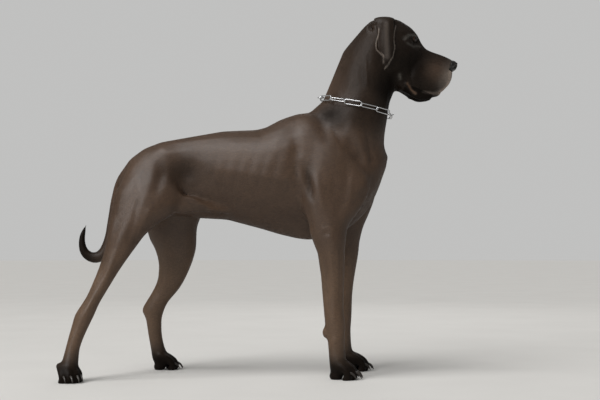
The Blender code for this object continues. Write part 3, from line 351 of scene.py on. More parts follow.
def is_face(points):
    """The head's front, below the forehead."""
    return (head_part(points, -0.041, -0.040) > 0.5) & (head_ways(points)[1] < 0.035)


def remeshed(thing, cell):
    """The mesh made anew from even cells of that size."""
    cells = thing.modifiers.new("cells", "REMESH")
    cells.mode = "VOXEL"
    cells.voxel_size = cell
    settle(thing)


def form_skin():
    """One closed skin over the solids, smoothed least where the form is finest."""
    skin = new_thing(joined(FLESH + FILLING, GAP_CLOSER), "skin")
    remeshed(skin, CELL)
    points = points_of(skin)
    head = head_part(points, -0.19, -0.13)
    face = head_part(points, -0.06, -0.02)
    paw = 1 - rise(0.05, 0.09, points[:, 2])
    limb = 1 - rise(0.36, 0.46, points[:, 2])
    share = np.minimum.reduce([1 - 0.80 * head, 1 - 0.9 * face, 1 - 0.88 * paw, 1 - 0.72 * limb])
    soften(skin, share, 100)
    return skin


NEAR, FAR = (RIGHT,), (LEFT,)

FORE_STROKES = [
    # shoulder blade and the hollow behind it
    Mound(309, 133, 34, 62, 3.2),
    Mound(287, 127, 26, 34, -3.4),
    Line([(297, 110), (293, 124), (296, 143), (300, 160)], 15, -2.6),
    Line([(327, 121), (332, 132), (338, 144), (343, 160)], 9, 1.6),
    Line([(319, 118), (324, 132), (330, 146)], 14, -1.8),
    Line([(341, 121), (347, 136), (351, 152)], 15, -2.0),
    # folds behind the triceps
    Line([(305, 162), (308, 178), (311, 192), (314, 206)], 11, -4.6, 0.35),
    Line([(297, 156), (301, 176), (305, 194), (310, 214)], 9, 1.8, 0.35),
    Line([(315, 164), (318, 182), (321, 200), (323, 216)], 12, 2.0, 0.35),
    Mound(326, 166, 30, 60, 2.6),
    Line([(345, 152), (347, 172), (345, 196), (339, 214)], 16, -3.0, 0.3),
    Line([(334, 172), (334, 190), (331, 208)], 12, -1.2, 0.3),
    Line([(351, 174), (351, 188), (348, 202)], 8, 1.2, 0.3),
    # neck into chest
    Line([(353, 126), (361, 142), (366, 156), (367, 170)], 11, 2.8, 0.3),
    Line([(365, 125), (369, 141), (372, 156), (372, 168)], 9, -3.4, 0.3),
    Mound(375, 158, 11, 14, -3.0),
    Line([(383, 168), (377, 182), (368, 196), (354, 214)], 7, 2.6, 0.3),
    Line([(375, 172), (368, 186), (358, 200), (348, 212)], 11, -2.2, 0.3),
]

HIND_STROKES = [
    # flank, hip and thigh
    Mound(186, 171, 58, 34, -4.2),
    Mound(166, 160, 20, 24, 2.2),
    Line([(164, 164), (159, 180), (156, 198)], 16, -3.4, 0.35),
    Line([(165, 172), (170, 184), (178, 194)], 11, 2.0, 0.35),
    Line([(183, 196), (192, 200), (202, 205.5), (215, 211), (224, 213.5)], 8, 2.2, 0.3),
    Line([(147, 229), (158, 219), (172, 212.5), (190, 211), (212, 214)], 7, 1.4, 0.3),
    Line([(153, 206), (146, 222), (139, 238)], 9, 2.0),
    Line([(126, 152), (118, 172), (114, 196), (116, 222)], 12, -1.8),
    Line([(134, 170), (128, 196), (124, 222), (118, 250)], 14, 2.0),
    Line([(140, 196), (136, 220), (128, 246)], 10, -2.2),
    Mound(136.5, 242, 8, 10, -2.6, NEAR),
    Line([(126, 236), (118, 262), (108, 290)], 10, -1.8, 0.35, NEAR, -0.14),
    Line([(110, 286), (101, 306), (92, 324)], 8, -2.0, 0.35, NEAR, -0.15),
    Line([(100, 282), (92, 302), (84, 320)], 6, 1.2, 0.35, NEAR, -0.15),
    Mound(88, 326, 12, 12, 1.6, NEAR, -0.16),
    Line([(84, 338), (80, 358), (77, 376)], 7, -1.2, 0.35, NEAR, -0.17),
    Mound(180, 250, 26, 20, 3.0, FAR, 0.12),
]

NECK_STROKES = [
    Line([(366.5, 54), (366, 70), (367, 82), (369, 96)], 5, 1.8, 0.35),
    Line([(362, 58), (361.5, 76), (364, 94)], 8, -1.8, 0.35),
    Line([(374, 50), (374, 70), (373, 88), (371, 106)], 10, 2.0, 0.35),
    Line([(382, 70), (383, 88), (381, 104), (378, 120)], 9, -2.4, 0.35, deep=JAW_SIDE),
    Line([(388, 84), (387, 98), (384, 112)], 4, 1.6, deep=-0.04),
    Line([(345, 62), (343, 80), (341, 96)], 12, -1.4),
]

# Forelegs: the near one as the photograph has it, the far one that many pixels ahead of it
FAR_LEG_STEP = 14
RIB_STEP = 12.5
CHEST_POINT = Vector((0.266, 0, 0.681))
TEATS = ((232, 222.5), (265, 231.5), (282, 235.5))
TEAT_SIDE = 0.030


def foreleg_strokes(step, sides):
    """Elbow, tendons, wrist and toes of a foreleg, moved along by that many pixels."""
    rows = [([(321, 229), (329, 227), (336, 231)], 6, 1.2),
            ([(322, 234), (330, 233.5), (336, 238)], 5, -0.9),
            ([(329, 246), (332, 272), (333, 300), (334, 330)], 8, 1.8),
            ([(326, 258), (327, 286), (328, 314)], 6, -1.5),
            ([(340, 240), (341, 270), (340, 310)], 6, -1.8)]
    tendons = [Line([(x + step, y) for x, y in path], width, height, sides=sides)
               for path, width, height in rows]
    toe = Line([(334 + step, 352), (334 + step, 372), (335 + step, 384)], 6, -1.2, sides=sides)
    return ([Mound(331 + step, 236, 16, 16, 2.4, sides=sides)] + tendons
            + [Mound(335 + step, 340, 16, 12, 1.8, sides=sides), toe])


def form_muscles(skin):
    """The muscles, bones, hollows and folds of skin that show through the short coat."""
    clay = Clay(skin)
    clay.form(FORE_STROKES)
    clay.ball(HOME + CHEST_POINT, (12, 14, 12), 4.0)
    for step in range(7):
        x = 214 + RIB_STEP * step
        clay.form([Line([(x + 5, 146), (x, 166), (x - 6, 186), (x - 14, 204)], 9, -0.9, 0.4)])
    clay.form(HIND_STROKES)
    clay.form(foreleg_strokes(0, NEAR), -0.14)
    clay.form(foreleg_strokes(FAR_LEG_STEP, FAR), 0.13)
    for px, py in TEATS:
        x, z = seen(px, py, 0.0)
        for side in SIDES:
            clay.ball((x, HOME.y + side * TEAT_SIDE, z + 0.004), (4, 4, 5), 3.6)
    clay.form(NECK_STROKES, NECK_SIDE)
    clay.press()


FACE_STROKES = [
    # brow and the lines of skin round the eye
    Line([(406.5, 39.5), (409.5, 35.5), (414, 33.6), (419, 36.6)], 4.5, 2.2),
    Line([(405, 33), (402.5, 40), (404, 47)], 5, -1.2),
    Line([(409.5, 46.5), (413, 48.5), (417.5, 47.6), (420, 44.5)], 3.2, -1.0),
    Line([(408.5, 49), (412.5, 52), (417.5, 51.8)], 3.2, 0.5),
    Line([(411, 52), (411, 60), (408.5, 66)], 4.5, -1.8),
    Line([(419, 48.5), (422, 53), (423, 58)], 4.5, -1.2),
    Line([(400, 45), (394, 50), (388, 52)], 8, 1.4),
    # cheek, lip corner and the folds of the lips
    Line([(411.5, 67), (410, 78), (411.5, 88)], 5, -2.8),
    Line([(405.5, 80), (408.5, 88), (413.5, 97)], 4.2, 3.0),
    Line([(403, 84), (405.5, 92), (410, 99)], 4, -2.0),
    Line([(421, 67.5), (425, 70), (428.5, 74)], 4.5, -1.5),
    Line([(417, 76), (420.5, 82), (421, 90)], 4.5, -1.3),
    Line([(430, 62), (438, 64), (444.5, 67)], 5, -1.2),
    Mound(400.7, 75.9, 3.2, 3.2, 2.0, deep=-0.05),
    # jaw and throat
    Line([(392, 62), (396, 78), (402, 92)], 9, -1.6, deep=JAW_SIDE),
]

# Whisker beds on the flews: rows of small swellings from the first one on
WHISKERS_AT, WHISKER_ROWS, WHISKERS_IN_ROW = (427, 71), 4, 6
WHISKERS = [Mound(WHISKERS_AT[0] + 4.0 * place + 1.2 * row, WHISKERS_AT[1] + 4.6 * row + 0.9 * place,
                  1.8, 1.8, 0.75)
            for row in range(WHISKER_ROWS) for place in range(WHISKERS_IN_ROW)]

EAR_STROKES = [
    # rolled rims and the fold at the root
    Line([(393.6, 22), (393.2, 30), (393.5, 38), (394.6, 47), (392.6, 56), (388.5, 63), (385.0, 67)],
         2.6, 1.6, 0.06),
    Line([(379.0, 28), (378.6, 34), (376.6, 42), (376.8, 48), (380.5, 52), (383.6, 55.5), (383.8, 62)],
         2.4, 1.6, 0.06),
    Line([(386, 22), (386, 38), (386.5, 56)], 10, 1.4, 0.4),
    Line([(390.5, 24), (390.5, 40), (391, 54)], 5, -1.0, 0.4),
    Line([(381.5, 26), (380.8, 40), (381.5, 52)], 5, -1.0, 0.4),
    # the cup behind the root and its rim
    Mound(371.5, 27, 6.5, 8.5, -6.0, deep=NECK_SIDE),
    Line([(368.2, 31), (367.9, 26), (370, 22.6), (374, 21.8), (377.5, 23.4)], 2.6, 3.4, 0.1, deep=-0.075),
]

# Paths over the head: (along, across, side)
MOUTH_LINE = [
    (0.147, -0.115, 0.005), (0.141, -0.122, 0.013), (0.128, -0.1310, 0.022), (0.114, -0.1360, 0.028),
    (0.100, -0.1400, 0.034), (0.085, -0.1430, 0.038), (0.070, -0.1460, 0.040), (0.045, -0.1490, 0.041),
    (0.024, -0.1400, 0.041)]
LIP_EDGE = [(0.142, -0.108, 0.014), (0.126, -0.1235, 0.026), (0.098, -0.1325, 0.037), (0.066, -0.138, 0.042)]
LIP_CLEFT = [(0.152, -0.046, 0.0), (0.1525, -0.070, 0.0), (0.148, -0.108, 0.0)]
BROW_FURROW = [(-0.03, 0.040, 0), (0.005, 0.022, 0), (0.030, -0.006, 0)]


def form_head(skin):
    """Brow, cheeks, lips, mouth, whisker beds and the ears' rims."""
    clay = Clay(skin)
    clay.form(FACE_STROKES + WHISKERS, FACE_SIDE)
    clay.head_line(MOUTH_LINE, 2.2, -5.0, ends=0.10)
    clay.head_line(LIP_EDGE, 3.4, 1.2)
    clay.head_line(LIP_CLEFT, 2.2, -2.0, sides=NEAR)
    clay.head_line(BROW_FURROW, 7, -1.6, sides=NEAR)
    clay.form(EAR_STROKES, EAR_SIDE)
    clay.press()


def lids(skin):
    """Draws the skin round each eye on to the ball: a sunk opening with full lids round it."""
    points = points_of(skin)
    for side in SIDES:
        centre, way, along, up = eye_frame(side)
        reach = points - np.array(centre)
        far = np.linalg.norm(reach, axis=1)
        chosen = np.nonzero(far < 0.030)[0]
        reach, far = reach[chosen], far[chosen]
        ahead = reach @ np.array(way)
        a = reach @ np.array(along) / far
        b = reach @ np.array(up) / far
        turn = np.degrees(np.arccos(np.clip(ahead / far, -1, 1)))
        edge = almond(np.arctan2(b, a))
        off = np.hypot(a, b) - edge
        near = (1 - rise(48, 84, turn)) * (1 - rise(0.019, 0.028, far))
        roll = LID_ROLL * np.exp(-((off - 0.16) / 0.10) ** 2)
        crease = LID_CREASE * np.exp(-((off - 0.34) / 0.07) ** 2)
        lid = EYE_RADIUS + LID_THICK + roll - crease
        inner = EYE_RADIUS - LID_TUCK
        wanted = inner + (lid - inner) * rise(-0.055, 0.035, off)
        new = far + (wanted - far) * near
        points[chosen] = np.array(centre) + reach / far[:, None] * new[:, None]
    move_to(skin, points)


def eye_frame(side):
    """Centre of the eyeball, the way it looks, towards its front corner, and up."""
    low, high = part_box("eye_" + SIDE_NAMES[side])
    centre = (low + high) / 2
    way = AHEAD * math.cos(EYE_TURN_OUT) + ACROSS * side * math.sin(EYE_TURN_OUT) + UP * 0.08
    way.normalize()
    along = (AHEAD - way * AHEAD.dot(way)).normalized()
    up = along.cross(way) * -side
    if up.z < 0:
        up = -up
    return centre, way, along, up


def almond(turn):
    """How far from the middle of the eye the lids' edge lies, as a share of the ball's radius."""
    wide = 0.84
    high = np.where(np.sin(turn) > 0, 0.36, 0.40)
    return 1 / np.sqrt((np.cos(turn) / wide) ** 2 + (np.sin(turn) / high) ** 2)


def refine(thing, centres, reach):
    """Splits the faces near any point of a list."""
    centres = [Vector(c) for c in centres]
    bm = bmesh.new()
    bm.from_mesh(thing.data)
    picked = [e for e in bm.edges
              if any(((e.verts[0].co + e.verts[1].co) / 2 - c).length < reach for c in centres)]
    bmesh.ops.subdivide_edges(bm, edges=picked, cuts=1, use_grid_fill=True)
    bmesh.ops.triangulate(bm, faces=bm.faces)
    bm.to_mesh(thing.data)
    bm.free()


def sink_under_coat(skin):
    """Sinks the skin by the depth of the coat, less on the face and the feet."""
    points, normals = points_of(skin), normals_of(skin)
    head = head_part(points, -0.16, -0.04)
    paw = 1 - rise(0.04, 0.09, points[:, 2])
    deep = COAT_DEPTH * (1 - 0.45 * head) * (1 - 0.45 * paw)
    deep *= rise(0.0005, 0.006, points[:, 2])
    points -= normals * deep[:, None]
    points[:, 2] = np.maximum(points[:, 2], 0.0)
    move_to(skin, points)


def sink_under_nose(skin):
    """The skin gives way under the nose leather, most where the nostrils go in."""
    bm = joined(["nose"], 0.0)
    tree = BVHTree.FromBMesh(bm)
    bm.free()
    points, normals = points_of(skin), normals_of(skin)
    near = in_box(points, "nose", 0.006)
    ahead = head_ways(points)[0]
    for i in np.nonzero(near)[0]:
        covered = 1 - rise(0.0008, 0.0030, tree.find_nearest(Vector(points[i]))[3])
        inward = rise(0.130, 0.139, ahead[i])
        points[i] -= normals[i] * NOSE_BED * covered + np.array(AHEAD) * NOSE_BED_BACK * covered * inward
    move_to(skin, points)


# Share of the faces kept in each region of the skin
KEPT_FACES = [
    (lambda p: (p[:, 2] > 0.46) & ~is_head(p), 0.056),
    (lambda p: (p[:, 2] > 0.085) & (p[:, 2] <= 0.46), 0.100),
    (lambda p: p[:, 2] <= 0.085, 0.20),
    (lambda p: is_head(p) & ~is_face(p) & ~is_ear(p), 0.15),
    (lambda p: is_face(p) & ~is_ear(p), 0.40),
    (lambda p: is_ear(p), 0.42),
]
EAR_CUP = (372, 26)
EAR_ROOT = ((372, 22), (378, 19), (386, 17.5), (394, 20))


def make_skin():
    """The whole skin: solids joined, sunk, formed, thinned and fitted round nose and eyes."""
    skin = form_skin()
    sink_under_coat(skin)
    form_muscles(skin)
    thin_out(skin, KEPT_FACES)
    refine(skin, [in_head(s, t, side * y) for s, t, y in MOUTH_LINE for side in SIDES], 0.010)
    eyes = [eye_frame(side)[0] for side in SIDES]
    refine(skin, eyes, 0.0200)
    refine(skin, eyes, 0.0160)
    smooth_ears(skin)
    x, z = seen(*EAR_CUP, -0.065)
    refine(skin, [(x, HOME.y + side * 0.062, z) for side in SIDES], 0.016)
    form_head(skin)
    sink_under_nose(skin)
    lids(skin)
    skin.data.shade_smooth()
    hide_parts(*FLESH)
    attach(skin, "root")
    return skin


def smooth_ears(skin):
    """The ears' roots run softly into the skull, and their edges are even."""
    soften(skin, 0.35 * is_ear(points_of(skin)), 26)
    points = points_of(skin)
    root = np.zeros(len(points))
    for side in SIDES:
        for px, py in EAR_ROOT:
            x, z = seen(px, py, -0.065)
            far = np.linalg.norm(points - np.array((x, HOME.y + side * 0.066, z)), axis=1)
            root = np.maximum(root, 1 - rise(0.014, 0.030, far))
    soften(skin, root, 110)


EAR_OUTLINE = [
    (375.0, 14), (386, 12), (398.5, 17), (397.2, 25), (396.2, 38), (397.0, 47), (395.0, 57), (390.0, 65),
    (384.0, 70.5), (382.0, 67), (382.2, 61), (379, 55), (374.6, 49.5), (374.6, 41), (376.5, 34), (374.5, 26)]


def in_box(points, name, margin):
    """Inside the box round a solid, grown by a margin."""
    low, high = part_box(name)
    return ((points > np.array(low) - margin) & (points < np.array(high) + margin)).all(axis=1)


def is_ear(p):
    """Inside the ears' boxes and inside their outline as the photograph shows it."""
    inside = in_box(p, "ear_right", 0.003) | in_box(p, "ear_left", 0.003)
    chosen = np.nonzero(inside)[0]
    x, z = p[chosen, 0], p[chosen, 2]
    outline = [seen(px, py, EAR_SIDE) for px, py in EAR_OUTLINE]
    within = np.zeros(len(chosen), bool)
    for (x1, z1), (x2, z2) in zip(outline, outline[1:] + outline[:1]):
        crosses = (z1 > z) != (z2 > z)
        within ^= crosses & (x < (x2 - x1) * (z - z1) / ((z2 - z1) or 1e-9) + x1)
    inside[chosen] = within
    return inside


# Nose, eyes, claws

SIDE_SLIT = [(0.1470, -0.0385, 0.0165), (0.1400, -0.0425, 0.0225), (0.1330, -0.0405, 0.0265)]
NOSTRIL_WING = [(0.1500, -0.0250, 0.0105), (0.1460, -0.0230, 0.0170), (0.1400, -0.0290, 0.0230)]
NOSE_CLEFT = [(0.155, -0.022, 0.0), (0.155, -0.040, 0.0), (0.152, -0.056, 0.0)]
NOSTRIL = (0.1480, -0.0335, 0.0125)


def nose_leather():
    """The bare nose: two nostrils with their side slits and wings, and the cleft between them."""
    nose = new_thing(joined(["nose"], 0.0001), "nose_leather")
    remeshed(nose, NOSE_CELL)
    soften(nose, np.ones(len(nose.data.vertices)), 70)
    clay = Clay(nose)
    for side in SIDES:
        clay.ball(in_head(NOSTRIL[0], NOSTRIL[1], side * NOSTRIL[2]), (5.2, 5.2, 5.2), -5.5)
    clay.head_line(SIDE_SLIT, 2.2, -2.4, ends=0.3)
    clay.head_line(NOSTRIL_WING, 3.6, 1.6)
    clay.head_line(NOSE_CLEFT, 1.5, -1.4, sides=NEAR, ends=0.05)
    clay.press()
    nose.data.shade_smooth()
    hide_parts("nose")
    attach(nose, "root")
    return nose


CORNEA_RISE, CORNEA_REACH = 0.045, 0.62


def eyeball(side):
    """The ball, with its rings of faces round the way it looks, and a clear bulge over the iris."""
    centre, way, along = eye_frame(side)[:3]
    bm = bmesh.new()
    bmesh.ops.create_uvsphere(bm, u_segments=64, v_segments=48, radius=EYE_RADIUS)
    layer = bm.verts.layers.float.new("ring")
    frame_of_eye = Matrix((along, way.cross(along), way)).transposed().to_4x4()
    for v in bm.verts:
        turn = v.co.angle(Vector((0, 0, 1)))
        v[layer] = turn / math.pi
        v.co *= 1 + CORNEA_RISE * math.exp(-(turn / CORNEA_REACH) ** 2)
    bmesh.ops.transform(bm, matrix=Matrix.Translation(centre) @ frame_of_eye, verts=bm.verts)
    bmesh.ops.recalc_face_normals(bm, faces=bm.faces)
    ball = new_thing(bm, "eyeball_" + SIDE_NAMES[side])
    ball.data.shade_smooth()
    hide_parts("eye_" + SIDE_NAMES[side])
    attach(ball, "root")
    return ball


def wire_ring(radius, wire, segments, steps, turned=0.0):
    """A ring round Z, of a wire of that radius."""
    bm = bmesh.new()
    bmesh.ops.create_circle(bm, segments=segments, radius=wire,
                            matrix=Matrix.Translation((radius, 0, 0)) @ Matrix.Rotation(math.pi / 2, 4, "X"))
    bmesh.ops.rotate(bm, verts=bm.verts, cent=(0, 0, 0), matrix=Matrix.Rotation(turned, 3, "Z"))
    bmesh.ops.spin(bm, geom=bm.verts[:] + bm.edges[:], cent=(0, 0, 0), axis=(0, 0, 1), angle=2 * math.pi,
                   steps=steps, use_merge=True)
    return bm


def lid_rim(side):
    """The bare wet edge of the lids, a thin tube round the opening."""
    centre, way, along, up = eye_frame(side)
    across = way.cross(along)
    if across.dot(up) < 0:
        across = -across
    bm = wire_ring(10, 1.0, 10, 72)
    for v in bm.verts:
        turn = math.atan2(v.co.y, v.co.x)
        off = math.hypot(v.co.x, v.co.y) - 10
        reach = float(almond(np.array(turn))) + (0.030 + 0.045 * off)
        out = EYE_RADIUS + 0.00075 + 0.00075 * v.co.z
        flat = (along * math.cos(turn) + across * math.sin(turn)) * reach
        v.co = centre + (flat + way * math.sqrt(max(0.0, 1 - min(reach, 0.98) ** 2))).normalized() * out
    bmesh.ops.recalc_face_normals(bm, faces=bm.faces)
    rim = new_thing(bm, "lid_rim_" + SIDE_NAMES[side])
    rim.data.shade_smooth()
    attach(rim, "root")
    return rim


def claws_of(foot):
    """The four claws of a foot, rounded."""
    names = ["claw_%s_%d" % (foot, n) for n in range(1, 5)]
    claws = new_thing(joined(names, 0.0001), "claws_" + foot)
    fine = claws.modifiers.new("fine", "SUBSURF")
    fine.levels = fine.render_levels = 2
    settle(claws)
    claws.data.shade_smooth()
    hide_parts(*names)
    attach(claws, "root")
    return claws


# Collar

def main_axes(name):
    """Centre of a node, its three own directions from longest to shortest, and its half sizes along them."""
    points = points_of(NODES[name])
    points = np.unique(points.round(6), axis=0)
    centre = points.mean(axis=0)
    _, axes = np.linalg.eigh(np.cov((points - centre).T))
    axes = axes[:, ::-1]
    along = (points - centre) @ axes
    centre = centre + axes @ ((along.max(axis=0) + along.min(axis=0)) / 2)
    return centre, axes, (along.max(axis=0) - along.min(axis=0)) / 2


WIRE_RADIUS = 0.00165


def chain_link(name):
    """A closed link of round wire: a ring whose halves are drawn apart."""
    centre, axes, half = main_axes(name)
    straight = max(0.0, half[0] - half[1])
    bm = wire_ring(half[1] - WIRE_RADIUS, WIRE_RADIUS, 14, 48, math.pi / 48)
    for v in bm.verts:
        v.co.x += math.copysign(straight, v.co.x)
    place = Matrix.Identity(4)
    for column in range(3):
        for row in range(3):
            place[row][column] = axes[row, column]
        place[column][3] = centre[column]
    bmesh.ops.transform(bm, matrix=place, verts=bm.verts)
    bmesh.ops.recalc_face_normals(bm, faces=bm.faces)
    link = new_thing(bm, name.replace("collar_", "chain_"))
    link.data.shade_smooth()
    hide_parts(name)
    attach(link, "root")
    return link


# Materials

def colour(code):
    """An sRGB hex colour as the shader's linear one."""
    parts = [int(code[i:i + 2], 16) / 255 for i in (0, 2, 4)]
    return tuple(c / 12.92 if c <= 0.04045 else ((c + 0.055) / 1.055) ** 2.4 for c in parts) + (1.0,)


def add(tree, kind, settings=None, links=None):
    """Adds a node with its settings and its links."""
    node = tree.nodes.new(kind)
    for key, value in (settings or {}).items():
        if isinstance(key, str) and hasattr(node, key):
            setattr(node, key, value)
        else:
            node.inputs[key].default_value = value
    for key, source in (links or {}).items():
        tree.links.new(source, node.inputs[key])
    return node


def new_material(name):
    """An empty material, its node tree, and the place on the object for its patterns."""
    material = bpy.data.materials.new(name)
    material.use_nodes = True
    tree = material.node_tree
    tree.nodes.clear()
    return material, tree, add(tree, "ShaderNodeTexCoord").outputs["Object"]


def noise(tree, place, scale, detail=2.0):
    """A soft random pattern; the higher the scale, the finer."""
    return add(tree, "ShaderNodeTexNoise", {"Scale": scale, "Detail": detail}, {"Vector": place}).outputs[0]


def stretched(tree, place, scale, turn=0.0):
    """The place with its three ways scaled, turned about Y."""
    return add(tree, "ShaderNodeMapping", {"Rotation": (0, turn, 0), "Scale": scale},
               {"Vector": place}).outputs[0]


def relief(tree, height, strength, distance, invert=False):
    """The bump that a pattern gives to the surface, its depth in metres."""
    return add(tree, "ShaderNodeBump", {"Strength": strength, "Distance": distance, "invert": invert},
               {"Height": height}).outputs[0]


def spread(tree, value, low, high, to_low, to_high):
    """A value's range carried over to another range."""
    return add(tree, "ShaderNodeMapRange",
               {"From Min": low, "From Max": high, "To Min": to_low, "To Max": to_high},
               {"Value": value}).outputs[0]


def two_tones(tree, share, first, second):
    """From the first colour to the second by the share."""
    tint = add(tree, "ShaderNodeMix", {"data_type": "RGBA"})
    tint.inputs[6].default_value = colour(first)
    tint.inputs[7].default_value = colour(second)
    tree.links.new(share, tint.inputs[0])
    return tint.outputs[2]


def finish_material(tree, settings, links):
    """The surface itself and the material's output."""
    shader = add(tree, "ShaderNodeBsdfPrincipled", settings, links)
    add(tree, "ShaderNodeOutputMaterial", links={"Surface": shader.outputs[0]})


def coat_material():
    """short dog coat: flat glossy hair, black-brown, a broad soft shine along the back."""
    material, tree, place = new_material("short dog coat")
    shade = add(tree, "ShaderNodeAttribute", {"attribute_name": "coat_colour"}).outputs["Color"]
    # clouds of tone 70 mm across
    broad = noise(tree, place, 14.0, 4.0)
    # locks 11 mm long and 2 mm wide along the lie of the back, coarser than hair
    streak = noise(tree, stretched(tree, place, (90, 520, 520), math.radians(-21)), 1.0, 3.0)
    tone = add(tree, "ShaderNodeMath", {"operation": "MULTIPLY"})
    tree.links.new(spread(tree, broad, 0.3, 0.7, 0.86, 1.12), tone.inputs[0])
    tree.links.new(spread(tree, streak, 0.3, 0.7, 0.80, 1.20), tone.inputs[1])
    dyed = add(tree, "ShaderNodeVectorMath", {"operation": "SCALE"})
    tree.links.new(shade, dyed.inputs[0])
    tree.links.new(tone.outputs[0], dyed.inputs["Scale"])
    bump = relief(tree, streak, 0.35, 0.0006)
    # black hair shines less than brown hair
    grey = add(tree, "ShaderNodeRGBToBW", links={"Color": shade})
    shine = spread(tree, grey.outputs[0], 0.003, 0.034, 0.03, 0.40)
    finish_material(tree, {"Roughness": 0.46, "Sheen Weight": 0.02, "Sheen Roughness": 0.45},
                    {"Base Color": dyed.outputs[0], "Normal": bump, "Specular IOR Level": shine})
    return material


def leather_material():
    """nose leather: bare, black-grey and damp, with pebbles 1.4 mm wide."""
    material, tree, place = new_material("nose leather")
    pebble = add(tree, "ShaderNodeTexVoronoi", {"Scale": 700.0, "feature": "SMOOTH_F1"}, {"Vector": place})
    pebble = pebble.outputs["Distance"]
    tint = two_tones(tree, pebble, "151210", "0e0c0b")
    bump = relief(tree, pebble, 0.5, 0.0005, True)
    finish_material(tree, {"Roughness": 0.40, "Specular IOR Level": 0.35,
                           "Coat Weight": 0.15, "Coat Roughness": 0.2},
                    {"Base Color": tint, "Normal": bump})
    return material


# Colours of the eye from the middle of the pupil outwards: share of half a turn, colour
EYE_RINGS = [(0.0, "020202"), (0.080, "030202"), (0.092, "2a170b"), (0.150, "3b2312"), (0.215, "1f1109"),
             (0.240, "0a0604"), (0.275, "17110e"), (0.36, "332a25")]


def eye_material():
    """wet eyeball: dark brown iris round a black pupil under a clear gloss."""
    material, tree, _ = new_material("wet eyeball")
    ring = add(tree, "ShaderNodeAttribute", {"attribute_name": "ring"})
    ramp = add(tree, "ShaderNodeValToRGB", links={"Fac": ring.outputs["Fac"]})
    elements = ramp.color_ramp.elements
    for element, (position, code) in zip((elements[0], elements[1]), (EYE_RINGS[0], EYE_RINGS[-1])):
        element.position, element.color = position, colour(code)
    for position, code in EYE_RINGS[1:-1]:
        elements.new(position).color = colour(code)
    finish_material(tree, {"Roughness": 0.10, "Specular IOR Level": 0.15,
                           "Coat Weight": 0.45, "Coat Roughness": 0.02},
                    {"Base Color": ramp.outputs[0]})
    return material


def lid_material():
    """bare lid edge: dark wet skin, mottled at 1 mm."""
    material, tree, place = new_material("bare lid edge")
    spots = noise(tree, place, 900.0)
    finish_material(tree, {"Roughness": 0.22, "Coat Weight": 0.5, "Coat Roughness": 0.1},
                    {"Base Color": two_tones(tree, spots, "0f0b09", "241c18")})
    return material


def horn_material():
    """horn: near-black to dark grey claws, faintly striped along their length."""
    material, tree, place = new_material("horn")
    streak = noise(tree, stretched(tree, place, (900, 900, 140)), 1.0)
    tint = two_tones(tree, streak, "14100d", "37302a")
    bump = relief(tree, streak, 0.2, 0.0002)
    finish_material(tree, {"Roughness": 0.34}, {"Base Color": tint, "Normal": bump})
    return material


def chrome_material():
    """chrome steel: bright polished wire, a little duller in patches 2.5 mm wide."""
    material, tree, place = new_material("chrome steel")
    wear = noise(tree, place, 400.0, 3.0)
    rough = spread(tree, wear, 0.35, 0.7, 0.10, 0.26)
    tint = two_tones(tree, wear, "d6d7d8", "b9babc")
    finish_material(tree, {"Metallic": 1.0}, {"Base Color": tint, "Roughness": rough})
    return material


def floor_material():
    """matt studio floor: pale warm grey paint, clouded at 0.3 m."""
    material, tree, place = new_material("matt studio floor")
    paint = two_tones(tree, noise(tree, place, 3.0, 3.0), "c9c7c3", "d2d0cc")
    finish_material(tree, {"Roughness": 0.8}, {"Base Color": paint})
    return material


# Markings of the coat, and the light and shade painted on it

def mix(first, second, share):
    """From the first triple to the second by each point's share."""
    return first * (1 - share[:, None]) + second * share[:, None]


def spot(a, b, place, wide, high):
    """1 at a place and less round it, by two measures of each point."""
    return np.exp(-((a - place[0]) / wide) ** 2 - ((b - place[1]) / high) ** 2)


# Colours of the hair, and of the light and shade painted on it
PLAIN, BROWN, DARK, BLACK, LIT_THIGH_BROWN, FROST, LIT_LEG_BROWN = (
    np.array(colour(code)[:3])
    for code in ("463426", "352316", "1b1510", "0c0907", "523627", "85796f", "604b39"))
# Painted highlights along the rims of the ears
EAR_RIM_HIGHLIGHTS = [
    [(396.5, 24), (394.8, 30), (394.0, 38), (395.0, 47), (393.0, 56), (388.8, 63), (385.0, 67.5)],
    [(379.0, 28), (378.4, 34), (376.4, 42), (376.6, 48), (380.3, 52), (383.6, 55.5), (383.8, 62)],
]
# Painted highlight down the middle of the ear
EAR_MIDDLE_HIGHLIGHT = [(386, 24), (386.5, 40), (387, 56)]
LIP_FRONT = [(450.5, 72), (450, 80), (447, 87), (441, 92)]
LIP_BELOW = [(441, 92), (433, 92.6), (424, 91.4)]
BROW = [(404, 41), (408.5, 36.6), (414.5, 34.8), (420, 38)]
UNDER_EYE = [(407, 44.5), (413.5, 47.5), (420, 46)]
CHEEK_WART = [(400.4, 74), (401, 78)]
MOUTH_CORNER = [(407.9, 83), (411.4, 89.3), (415.9, 93.0)]


